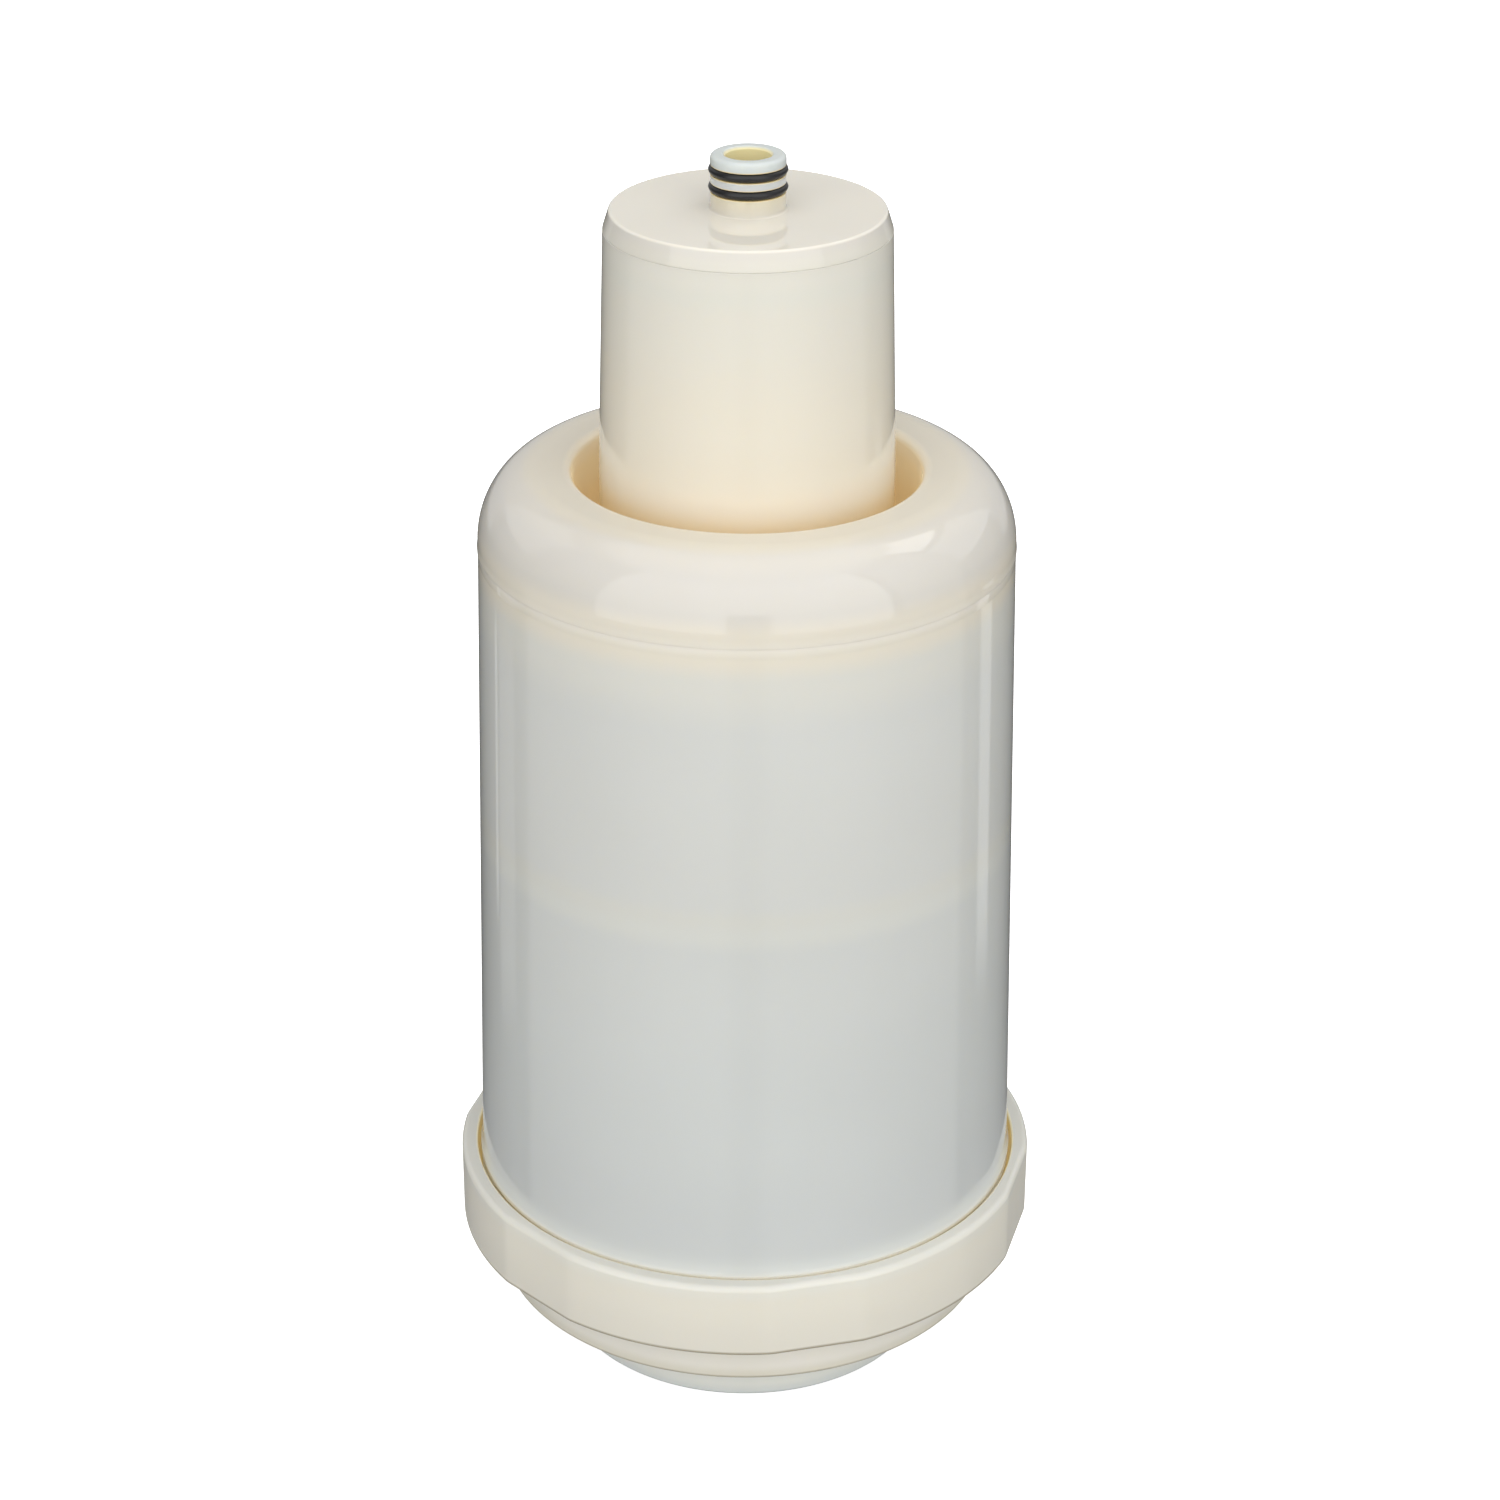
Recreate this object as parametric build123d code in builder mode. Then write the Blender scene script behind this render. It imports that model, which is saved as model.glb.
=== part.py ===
from build123d import *

import math
import os

# A plug-in water filter cartridge. It stands on its inlet foot, base plate down and outlet spigot up.
# A wide drafted body holds two media stages. A slim neck stands in an annular well in the body's domed
# shoulder and holds a bundle of hollow fibres. A collar with six wrench flats is a union nut: it turns on
# the body's foot and draws the stepped base up against a flat gasket.
#
# Frame: +Z up along the axis of the cartridge, origin on that axis at the underside of the foot.
# Every size is in millimetres and every angle in degrees.

# ---- Driving sizes ----------------------------------------------------------------------------------

# Inlet cap, the lowest disc
FOOT_RADIUS = 36.4
FOOT_HEIGHT = 13.3
FOOT_WALL = 2.4
FOOT_FLOOR = 2.6
FOOT_ROUND = 1.0
INLET_BORE_RADIUS = 5.0
INLET_BOSS_WALL = 2.6
INLET_BOSS_HEIGHT = 10.0
FOOT_RIBS = 6
FOOT_RIB_THICKNESS = 1.6

# Base cover, the disc between the foot and the collar
STEP_HEIGHT = 10.7
STEP_INSET = 4.5
BASE_WALL = 2.4
BASE_FLOOR = 2.6
BASE_FLANGE = 2.6
BASE_REGISTER = 4.0
BASE_GASKET = 1.8

# Collar
COLLAR_HEIGHT = 15.2
COLLAR_WALL = 3.1
COLLAR_GAP = 0.7
COLLAR_LIP = 3.0
COLLAR_TOP_ROUND = 1.2
COLLAR_BOTTOM_ROUND = 0.4
FLAT_COUNT = 6
FLAT_DEPTH = 0.7
FLAT_ANGLE = -75.5

# Thread between the collar and the body's foot, right-handed with one start
THREAD_PITCH = 4.0
THREAD_LEAD = 1.2
THREAD_DEPTH = 1.0
COLLAR_THREAD_DEPTH = 1.4
THREAD_FLANK = 0.3
THREAD_CLEARANCE = 0.3
THREAD_SUNK = 0.3
FLANGE_BAND = 0.9

# Body shell
BODY_TOP_RADIUS = 50.0
BODY_HEIGHT = 128.25
BODY_DRAFT = 1.2
BODY_WALL = 2.4
FOOT_FLARE = 0.36
FLARE_HEIGHT = 3.0
WELD_BAND = 2.05
WELD_RIDGE = 0.12

# Shoulder cap
SHOULDER_SPRING = 1.05
SHOULDER_RISE = 14.0
SHOULDER_WALL = 2.5
SHOULDER_SKIRT = 5.4
CREST_WIDTH = 4.0
CREST_ROUND = 1.6
WELL_GAP = 5.05
WELL_TAPER = 0.4
WELL_DEPTH = 19.0
WELL_FLOOR = 3.0

# Neck
NECK_TOP_RADIUS = 26.08
NECK_RISE = 45.2
NECK_DRAFT = 1.57
NECK_WALL = 2.4
NECK_SPIGOT_WALL = 2.4
NECK_SPIGOT_STEP = 1.8
MODULE_GASKET = 0.8

# Outlet cap and spigot
CAP_HEIGHT = 3.7
CAP_SLOPE = 1.17
CAP_ROUND = 0.6
CAP_SKIRT = 1.7
CAP_SKIRT_WALL = 1.9
SPIGOT_RADIUS = 6.8
SPIGOT_HEIGHT = 10.0
SPIGOT_TIP_ROUND = 0.8
SPIGOT_ROOT_ROUND = 0.6
OUTLET_BORE_RADIUS = 4.1
OUTLET_LEAD_IN = 0.5
O_RING_RADIUS = 7.15
O_RING_SECTION = 1.6
O_RING_PITCH = 3.2
O_RING_SETBACK = 2.8

# Fibre module
POTTING_DEPTH = 7.0
FIBRE_RADIUS = 1.2
FIBRE_PITCH = 3.2
FIBRE_SCREEN = 1.6

# Media stack
SNAP_RING_HEIGHT = 1.6
SNAP_RING_DEPTH = 0.8
SNAP_RING_REACH = 1.4
SNAP_RING_GAP_ANGLE = 16.0
PLATE_THICKNESS = 2.4
SEPARATOR_THICKNESS = 1.6
FELT_THICKNESS = 2.0
LOWER_MEDIA_HEIGHT = 68.0
PLATE_HOLE_RADIUS = 1.8
PLATE_HOLE_PITCH = 9.0
SCREEN_HOLE_RADIUS = 1.0
SCREEN_HOLE_PITCH = 4.0
INLET_SCREEN = 0.8

# Clearances
SEAT_CLEARANCE = 0.1
RUNNING_CLEARANCE = 0.4
GASKET_CLEARANCE = 0.05
PLATE_CLEARANCE = 0.25

# ---- Levels, from the foot up -----------------------------------------------------------------------

z_step = FOOT_HEIGHT
z_collar = z_step + STEP_HEIGHT
z_collar_top = z_collar + COLLAR_HEIGHT
z_flange = z_collar + COLLAR_LIP + SEAT_CLEARANCE
z_gasket = z_flange + BASE_FLANGE
z_body_foot = z_gasket + BASE_GASKET + GASKET_CLEARANCE
z_register_top = z_gasket + BASE_GASKET + BASE_REGISTER
z_thread = z_body_foot + THREAD_LEAD
z_flange_band = z_collar_top - FLANGE_BAND
z_snap_ring = z_register_top + RUNNING_CLEARANCE
z_bottom_plate = z_snap_ring + SNAP_RING_HEIGHT
z_bottom_felt = z_bottom_plate + PLATE_THICKNESS
z_lower_media = z_bottom_felt + FELT_THICKNESS
z_separator = z_lower_media + LOWER_MEDIA_HEIGHT
z_separator_felt = z_separator + SEPARATOR_THICKNESS
z_upper_media = z_separator_felt + FELT_THICKNESS

z_weld = z_collar_top + BODY_HEIGHT
z_band = z_weld - WELD_BAND
z_spring = z_weld + SHOULDER_SPRING
z_crest = z_spring + SHOULDER_RISE
z_well = z_crest - WELL_DEPTH
z_hub = z_well - WELL_FLOOR
z_skirt = z_weld - SHOULDER_SKIRT
z_top_plate = z_hub - SEAT_CLEARANCE - PLATE_THICKNESS
z_top_felt = z_top_plate - FELT_THICKNESS

z_sleeve_seat = z_well + MODULE_GASKET
z_neck_seam = z_crest + NECK_RISE
z_cap_top = z_neck_seam + CAP_HEIGHT
z_tip = z_cap_top + SPIGOT_HEIGHT
z_upper_ring = z_tip - O_RING_SETBACK
z_lower_ring = z_upper_ring - O_RING_PITCH
z_potting_top = z_neck_seam - CAP_SKIRT
z_potting = z_potting_top - POTTING_DEPTH
z_fibre_foot = z_sleeve_seat + FIBRE_SCREEN

# The ridge fills just under half of the pitch, and stops below the band of the body's foot
thread_ridge = THREAD_PITCH / 2 - THREAD_CLEARANCE
thread_foot = (thread_ridge + THREAD_FLANK) / 2
thread_height = z_flange_band - THREAD_CLEARANCE / 2 - thread_foot - z_thread

# ---- Radii that follow ------------------------------------------------------------------------------


def body_radius(z):
    """Outer radius of the body's drafted wall at height z."""
    return BODY_TOP_RADIUS + (z_band - z) * math.tan(math.radians(BODY_DRAFT))


def neck_radius(z):
    """Outer radius of the neck at height z: drafted above the crest, straight down in the well."""
    return NECK_TOP_RADIUS + (z_neck_seam - max(z, z_crest)) * math.tan(math.radians(NECK_DRAFT))


foot_flange_radius = body_radius(z_collar_top) + FOOT_FLARE
foot_bore = body_radius(z_collar_top) - BODY_WALL
collar_bore = foot_flange_radius + COLLAR_GAP
collar_radius = collar_bore + COLLAR_WALL
step_radius = collar_bore - STEP_INSET
lip_bore = step_radius + RUNNING_CLEARANCE
thread_root = foot_flange_radius - THREAD_DEPTH - SEAT_CLEARANCE
collar_thread_crest = collar_bore - COLLAR_THREAD_DEPTH
base_flange_radius = collar_thread_crest - RUNNING_CLEARANCE
register_radius = foot_bore - RUNNING_CLEARANCE
foot_bore_hole = FOOT_RADIUS - FOOT_WALL
neck_foot_radius = neck_radius(z_well)
well_radius = neck_radius(z_crest) + WELL_GAP
well_floor_radius = well_radius - WELL_TAPER
crest_inner = well_radius + CREST_ROUND
crest_outer = crest_inner + CREST_WIDTH
spigot_foot_radius = neck_foot_radius - NECK_SPIGOT_STEP
spigot_foot_bore = spigot_foot_radius - NECK_SPIGOT_WALL
hub_bore = spigot_foot_radius + SEAT_CLEARANCE
o_ring_line = O_RING_RADIUS - O_RING_SECTION / 2
groove_radius = O_RING_RADIUS - O_RING_SECTION - GASKET_CLEARANCE
groove_width = O_RING_SECTION + 2 * GASKET_CLEARANCE
fibre_rings = int((spigot_foot_bore - SEAT_CLEARANCE - FIBRE_RADIUS) // FIBRE_PITCH)


def media_radius(z):
    """Radius at height z of what fills the body from wall to wall."""
    return min(foot_bore, body_radius(z) - BODY_WALL) - SEAT_CLEARANCE


def neck_bore(z):
    """Radius of the neck sleeve's bore at height z."""
    return neck_radius(z) - NECK_WALL


# ---- Drawing helpers --------------------------------------------------------------------------------


def thread_profile(depth):
    """Points of a thread ridge of that depth, from a foot sunk in its wall along local +X to its crest."""
    foot, crest = thread_foot, thread_foot - THREAD_FLANK
    return ((-THREAD_SUNK, -foot), (0, -foot), (depth, -crest), (depth, crest), (0, foot), (-THREAD_SUNK, foot))


def perforated_disc(radius, hole_radius, pitch):
    """Disc with rings of round holes one pitch apart, six more holes in each ring than in the last."""
    Circle(radius)
    Circle(hole_radius, mode=Mode.SUBTRACT)
    rings = int((radius - 2 * hole_radius) // pitch)
    for ring in range(1, rings + 1):
        with PolarLocations(ring * pitch, 6 * ring):
            Circle(hole_radius, mode=Mode.SUBTRACT)


# ---- Base -------------------------------------------------------------------------------------------

with BuildPart() as inlet_cap:
    with BuildSketch(Plane.XZ):
        Polygon(
            (0, 0),
            (FOOT_RADIUS, 0),
            (FOOT_RADIUS, FOOT_HEIGHT),
            (foot_bore_hole - SEAT_CLEARANCE, FOOT_HEIGHT),
            (foot_bore_hole - SEAT_CLEARANCE, FOOT_HEIGHT + BASE_FLOOR),
            (foot_bore_hole - FOOT_WALL, FOOT_HEIGHT + BASE_FLOOR),
            (foot_bore_hole - FOOT_WALL, FOOT_FLOOR),
            (INLET_BORE_RADIUS + INLET_BOSS_WALL, FOOT_FLOOR),
            (INLET_BORE_RADIUS + INLET_BOSS_WALL, INLET_BOSS_HEIGHT),
            (0, INLET_BOSS_HEIGHT),
            align=None,
        )
    revolve(axis=Axis.Z)
    fillet(inlet_cap.faces().sort_by(Axis.Z)[0].edges(), radius=FOOT_ROUND)
    rib_inner = INLET_BORE_RADIUS + INLET_BOSS_WALL / 2
    rib_outer = foot_bore_hole - FOOT_WALL / 2
    with BuildSketch(Plane.XY.offset(FOOT_FLOOR / 2)):
        with PolarLocations((rib_inner + rib_outer) / 2, FOOT_RIBS):
            Rectangle(rib_outer - rib_inner, FOOT_RIB_THICKNESS)
    extrude(amount=INLET_BOSS_HEIGHT - FOOT_FLOOR / 2)
    with BuildSketch(Plane.XY):
        Circle(INLET_BORE_RADIUS)
    extrude(amount=INLET_BOSS_HEIGHT, mode=Mode.SUBTRACT)

with BuildPart() as inlet_screen:
    with BuildSketch(Plane.XY.offset(FOOT_HEIGHT + BASE_FLOOR)):
        perforated_disc(foot_bore_hole - SEAT_CLEARANCE, SCREEN_HOLE_RADIUS, SCREEN_HOLE_PITCH)
    extrude(amount=INLET_SCREEN)

with BuildPart() as base_cover:
    with BuildSketch(Plane.XZ):
        Polygon(
            (foot_bore_hole, z_step),
            (step_radius, z_step),
            (step_radius, z_flange),
            (base_flange_radius, z_flange),
            (base_flange_radius, z_gasket),
            (register_radius, z_gasket),
            (register_radius, z_register_top),
            (register_radius - BASE_WALL, z_register_top),
            (register_radius - BASE_WALL, z_gasket),
            (step_radius - BASE_WALL, z_flange),
            (step_radius - BASE_WALL, z_step + BASE_FLOOR),
            (foot_bore_hole, z_step + BASE_FLOOR),
            align=None,
        )
    revolve(axis=Axis.Z)

with BuildPart() as base_gasket:
    with BuildSketch(Plane.XY.offset(z_gasket)):
        Circle(thread_root - SEAT_CLEARANCE)
        Circle(register_radius + SEAT_CLEARANCE, mode=Mode.SUBTRACT)
    extrude(amount=BASE_GASKET)

# ---- Collar -----------------------------------------------------------------------------------------

with BuildPart() as collar:
    with BuildSketch(Plane.XY.offset(z_collar)):
        Circle(collar_radius)
        with PolarLocations(collar_radius, FLAT_COUNT, start_angle=FLAT_ANGLE):
            Rectangle(2 * FLAT_DEPTH, collar_radius, mode=Mode.SUBTRACT)
    extrude(amount=COLLAR_HEIGHT)
    fillet(collar.faces().sort_by(Axis.Z)[-1].edges(), radius=COLLAR_TOP_ROUND)
    fillet(collar.faces().sort_by(Axis.Z)[0].edges(), radius=COLLAR_BOTTOM_ROUND)
    with BuildSketch(Plane.XY.offset(z_collar)):
        Circle(lip_bore)
    extrude(amount=COLLAR_HEIGHT, mode=Mode.SUBTRACT)
    # The bore's seam faces +Y, clear of the thread's ends, which face +X
    with BuildSketch(Plane(origin=(0, 0, z_collar + COLLAR_LIP), x_dir=(0, 1, 0))):
        Circle(collar_bore)
    extrude(amount=COLLAR_HEIGHT, mode=Mode.SUBTRACT)
    with BuildLine():
        collar_helix = Helix(
            THREAD_PITCH,
            thread_height,
            collar_bore,
            center=(0, 0, z_thread - THREAD_PITCH / 2),
        )
    with BuildSketch(Plane(origin=collar_helix @ 0, x_dir=(-1, 0, 0), z_dir=(0, 1, 0))):
        Polygon(*thread_profile(COLLAR_THREAD_DEPTH), align=None)
    sweep(path=collar_helix, is_frenet=True)

# ---- Body shell -------------------------------------------------------------------------------------

with BuildPart() as body_shell:
    z_flare = z_collar_top + FLARE_HEIGHT
    # The section is drawn towards +Y, so that the shell's seam is clear of the thread's ends
    with BuildSketch(Plane.YZ):
        with BuildLine():
            foot = Polyline(
                (body_radius(z_weld) - BODY_WALL, z_weld),
                (foot_bore, z_collar_top),
                (foot_bore, z_bottom_plate),
                (foot_bore + SNAP_RING_DEPTH, z_bottom_plate),
                (foot_bore + SNAP_RING_DEPTH, z_snap_ring),
                (foot_bore, z_snap_ring),
                (foot_bore, z_body_foot),
                (thread_root, z_body_foot),
                (thread_root, z_flange_band),
                (foot_flange_radius, z_flange_band),
                (foot_flange_radius, z_collar_top),
            )
            flare = TangentArc(
                (body_radius(z_flare), z_flare),
                foot @ 1,
                tangent=(body_radius(z_collar_top) - body_radius(z_flare), -FLARE_HEIGHT),
            )
            Polyline(
                flare @ 0,
                (BODY_TOP_RADIUS, z_band),
                (BODY_TOP_RADIUS + WELD_RIDGE, z_weld),
                foot @ 0,
            )
        make_face()
    revolve(axis=Axis.Z)
    with BuildLine():
        body_helix = Helix(THREAD_PITCH, thread_height, thread_root, center=(0, 0, z_thread))
    with BuildSketch(Plane(origin=body_helix @ 0, x_dir=(1, 0, 0), z_dir=(0, -1, 0))):
        Polygon(*thread_profile(THREAD_DEPTH), align=None)
    sweep(path=body_helix, is_frenet=True)

# ---- Shoulder cap -----------------------------------------------------------------------------------

with BuildPart() as shoulder_cap:
    dome_radial = BODY_TOP_RADIUS - crest_outer
    skirt_radius = body_radius(z_weld) - BODY_WALL - SEAT_CLEARANCE
    with BuildSketch(Plane.XZ):
        with BuildLine():
            dome = EllipticalCenterArc(
                (crest_outer, z_spring), dome_radial, SHOULDER_RISE, start_angle=0, arc_size=90
            )
            crest = Line((crest_outer, z_crest), (crest_inner, z_crest))
            lip = CenterArc((crest_inner, z_crest - CREST_ROUND), CREST_ROUND, 90, 90)
            inside = EllipticalCenterArc(
                (crest_outer, z_spring),
                dome_radial - SHOULDER_WALL,
                SHOULDER_RISE - SHOULDER_WALL,
                start_angle=0,
                arc_size=90,
            )
            Polyline(
                (well_radius, z_crest - CREST_ROUND),
                (well_floor_radius, z_well),
                (hub_bore, z_well),
                (hub_bore, z_hub),
                (well_floor_radius + SHOULDER_WALL, z_hub),
                (well_radius + SHOULDER_WALL, z_crest - SHOULDER_WALL),
                (crest_outer, z_crest - SHOULDER_WALL),
            )
            Polyline(
                (BODY_TOP_RADIUS - SHOULDER_WALL, z_spring),
                (skirt_radius - SHOULDER_WALL, z_weld),
                (skirt_radius - SHOULDER_WALL, z_skirt),
                (skirt_radius, z_skirt),
                (skirt_radius, z_weld),
                (BODY_TOP_RADIUS + WELD_RIDGE, z_weld),
                (BODY_TOP_RADIUS, z_spring),
            )
        make_face()
    revolve(axis=Axis.Z)

# ---- Neck and fibre module --------------------------------------------------------------------------

with BuildPart() as module_gasket:
    with BuildSketch(Plane.XY.offset(z_well)):
        Circle(neck_foot_radius - SEAT_CLEARANCE)
        Circle(spigot_foot_radius + SEAT_CLEARANCE, mode=Mode.SUBTRACT)
    extrude(amount=MODULE_GASKET)

with BuildPart() as neck_sleeve:
    with BuildSketch(Plane.XZ):
        Polygon(
            (spigot_foot_radius, z_hub),
            (spigot_foot_radius, z_sleeve_seat),
            (neck_foot_radius, z_sleeve_seat),
            (neck_radius(z_crest), z_crest),
            (NECK_TOP_RADIUS, z_neck_seam),
            (neck_bore(z_neck_seam), z_neck_seam),
            (neck_bore(z_crest), z_crest),
            (neck_bore(z_sleeve_seat), z_sleeve_seat + NECK_SPIGOT_STEP),
            (spigot_foot_bore, z_sleeve_seat),
            (spigot_foot_bore, z_hub),
            align=None,
        )
    revolve(axis=Axis.Z)

with BuildPart() as fibre_screen:
    with BuildSketch(Plane.XY.offset(z_sleeve_seat - SEAT_CLEARANCE)):
        perforated_disc(spigot_foot_bore - SEAT_CLEARANCE, SCREEN_HOLE_RADIUS, SCREEN_HOLE_PITCH)
    extrude(amount=FIBRE_SCREEN)

with BuildPart() as hollow_fibres:
    with BuildSketch(Plane.XY.offset(z_fibre_foot)):
        Circle(FIBRE_RADIUS)
        for ring in range(1, fibre_rings + 1):
            with PolarLocations(ring * FIBRE_PITCH, 6 * ring):
                Circle(FIBRE_RADIUS)
    extrude(amount=z_potting - z_fibre_foot)

with BuildPart() as potting_disc:
    with BuildSketch(Plane.XZ):
        Polygon(
            (0, z_potting),
            (neck_bore(z_potting) - SEAT_CLEARANCE, z_potting),
            (neck_bore(z_potting_top) - SEAT_CLEARANCE, z_potting_top),
            (0, z_potting_top),
            align=None,
        )
    revolve(axis=Axis.Z)

with BuildPart() as outlet_cap:
    skirt_outer = neck_bore(z_neck_seam) - SEAT_CLEARANCE
    with BuildSketch(Plane.XZ):
        Polygon(
            (OUTLET_BORE_RADIUS, z_neck_seam + CAP_SKIRT),
            (skirt_outer - CAP_SKIRT_WALL, z_neck_seam),
            (skirt_outer - CAP_SKIRT_WALL, z_potting_top),
            (skirt_outer, z_potting_top),
            (skirt_outer, z_neck_seam),
            (NECK_TOP_RADIUS, z_neck_seam),
            (NECK_TOP_RADIUS - CAP_SLOPE, z_cap_top),
            (OUTLET_BORE_RADIUS, z_cap_top),
            align=None,
        )
    revolve(axis=Axis.Z)
    fillet(outlet_cap.faces().sort_by(Axis.Z)[-1].edges().sort_by(SortBy.LENGTH)[-1], radius=CAP_ROUND)
    with BuildSketch(Plane.XY.offset(z_cap_top)):
        Circle(SPIGOT_RADIUS)
        Circle(OUTLET_BORE_RADIUS, mode=Mode.SUBTRACT)
    extrude(amount=SPIGOT_HEIGHT)
    root = outlet_cap.edges().filter_by(GeomType.CIRCLE).group_by(Axis.Z)[-2].sort_by(SortBy.LENGTH)
    fillet(
        [e for e in root if abs(e.radius - SPIGOT_RADIUS) < SEAT_CLEARANCE], radius=SPIGOT_ROOT_ROUND
    )
    tip_edges = outlet_cap.faces().sort_by(Axis.Z)[-1].edges().sort_by(SortBy.LENGTH)
    fillet(tip_edges[-1], radius=SPIGOT_TIP_ROUND)
    tip_edges = outlet_cap.faces().sort_by(Axis.Z)[-1].edges().sort_by(SortBy.LENGTH)
    chamfer(tip_edges[0], length=OUTLET_LEAD_IN)
    for z_ring in (z_upper_ring, z_lower_ring):
        with BuildSketch(Plane.XY.offset(z_ring - groove_width / 2)):
            Circle(SPIGOT_RADIUS + SEAT_CLEARANCE)
            Circle(groove_radius, mode=Mode.SUBTRACT)
        extrude(amount=groove_width, mode=Mode.SUBTRACT)

with BuildPart() as upper_o_ring:
    with BuildSketch(Plane.XZ):
        with Locations((o_ring_line, z_upper_ring)):
            Circle(O_RING_SECTION / 2)
    revolve(axis=Axis.Z)

with BuildPart() as lower_o_ring:
    with BuildSketch(Plane.XZ):
        with Locations((o_ring_line, z_lower_ring)):
            Circle(O_RING_SECTION / 2)
    revolve(axis=Axis.Z)

# ---- Media stack ------------------------------------------------------------------------------------

with BuildPart() as snap_ring:
    with BuildSketch(Plane.XY.offset(z_snap_ring)):
        Circle(foot_bore + SNAP_RING_DEPTH - SEAT_CLEARANCE)
        Circle(foot_bore - SNAP_RING_REACH, mode=Mode.SUBTRACT)
        mouth = 2 * foot_bore * math.sin(math.radians(SNAP_RING_GAP_ANGLE / 2))
        with Locations((foot_bore, 0)):
            Rectangle(foot_bore, mouth, mode=Mode.SUBTRACT)
    extrude(amount=SNAP_RING_HEIGHT)

with BuildPart() as bottom_plate:
    with BuildSketch(Plane.XY.offset(z_bottom_plate)):
        perforated_disc(foot_bore - PLATE_CLEARANCE, PLATE_HOLE_RADIUS, PLATE_HOLE_PITCH)
    extrude(amount=PLATE_THICKNESS)

with BuildPart() as bottom_felt:
    with BuildSketch(Plane.XY.offset(z_bottom_felt)):
        Circle(media_radius(z_lower_media))
    extrude(amount=FELT_THICKNESS)

with BuildPart() as lower_media:
    with BuildSketch(Plane.XZ):
        Polygon(
            (0, z_lower_media),
            (media_radius(z_lower_media), z_lower_media),
            (media_radius(z_separator), z_separator),
            (0, z_separator),
            align=None,
        )
    revolve(axis=Axis.Z)

with BuildPart() as separator_plate:
    with BuildSketch(Plane.XY.offset(z_separator)):
        perforated_disc(media_radius(z_separator_felt), PLATE_HOLE_RADIUS, PLATE_HOLE_PITCH)
    extrude(amount=SEPARATOR_THICKNESS)

with BuildPart() as separator_felt:
    with BuildSketch(Plane.XY.offset(z_separator_felt)):
        Circle(media_radius(z_upper_media))
    extrude(amount=FELT_THICKNESS)

with BuildPart() as upper_media:
    with BuildSketch(Plane.XZ):
        Polygon(
            (0, z_upper_media),
            (media_radius(z_upper_media), z_upper_media),
            (media_radius(z_top_felt), z_top_felt),
            (0, z_top_felt),
            align=None,
        )
    revolve(axis=Axis.Z)

with BuildPart() as top_felt:
    with BuildSketch(Plane.XY.offset(z_top_felt)):
        Circle(media_radius(z_top_plate))
    extrude(amount=FELT_THICKNESS)

with BuildPart() as top_plate:
    with BuildSketch(Plane.XY.offset(z_top_plate)):
        perforated_disc(media_radius(z_hub) - PLATE_CLEARANCE, PLATE_HOLE_RADIUS, PLATE_HOLE_PITCH)
    extrude(amount=PLATE_THICKNESS)

# ---- Export -----------------------------------------------------------------------------------------

pieces = {
    "inlet_cap": inlet_cap,
    "inlet_screen": inlet_screen,
    "base_cover": base_cover,
    "base_gasket": base_gasket,
    "collar": collar,
    "body_shell": body_shell,
    "shoulder_cap": shoulder_cap,
    "module_gasket": module_gasket,
    "neck_sleeve": neck_sleeve,
    "fibre_screen": fibre_screen,
    "hollow_fibres": hollow_fibres,
    "potting_disc": potting_disc,
    "outlet_cap": outlet_cap,
    "upper_o_ring": upper_o_ring,
    "lower_o_ring": lower_o_ring,
    "snap_ring": snap_ring,
    "bottom_plate": bottom_plate,
    "bottom_felt": bottom_felt,
    "lower_media": lower_media,
    "separator_plate": separator_plate,
    "separator_felt": separator_felt,
    "upper_media": upper_media,
    "top_felt": top_felt,
    "top_plate": top_plate,
}

os.makedirs("parts", exist_ok=True)
for name, piece in pieces.items():
    piece.part.label = name
    export_step(piece.part, f"parts/{name}.step")
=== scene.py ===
"""Looks of a plug-in water filter cartridge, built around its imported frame.

Every piece that shows from outside is turned here again at the frame's sizes, finer than the
frame's own mesh and with its edge rounds, seams, threads and moulding marks, and gets its own
finish. The pieces inside keep the frame's mesh and get a finish each. Sizes in the classes are
millimetres, and Blender gets metres.
"""

import logging
import math
from dataclasses import dataclass, field
from enum import Enum

import bmesh
import bpy
from mathutils import Euler, Matrix, Vector

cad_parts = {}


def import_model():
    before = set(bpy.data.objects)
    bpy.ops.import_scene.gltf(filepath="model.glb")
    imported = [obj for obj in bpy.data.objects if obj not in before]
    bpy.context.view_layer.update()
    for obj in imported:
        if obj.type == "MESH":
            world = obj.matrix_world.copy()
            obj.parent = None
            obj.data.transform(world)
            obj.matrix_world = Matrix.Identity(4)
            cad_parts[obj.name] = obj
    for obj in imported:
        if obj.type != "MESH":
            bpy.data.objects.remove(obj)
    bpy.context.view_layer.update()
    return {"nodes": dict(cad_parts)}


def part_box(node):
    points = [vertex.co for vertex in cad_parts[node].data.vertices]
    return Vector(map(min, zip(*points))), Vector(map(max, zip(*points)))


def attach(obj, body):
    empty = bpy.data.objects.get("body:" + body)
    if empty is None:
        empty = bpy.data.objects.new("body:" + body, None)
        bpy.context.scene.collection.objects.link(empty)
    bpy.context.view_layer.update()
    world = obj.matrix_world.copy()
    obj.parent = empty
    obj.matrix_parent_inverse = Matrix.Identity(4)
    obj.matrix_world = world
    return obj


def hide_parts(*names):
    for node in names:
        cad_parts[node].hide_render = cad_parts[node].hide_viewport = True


MM = 0.001
SEGMENTS = 240
RING_SEGMENTS = 160
SMOOTH_ANGLE = math.radians(24)

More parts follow.
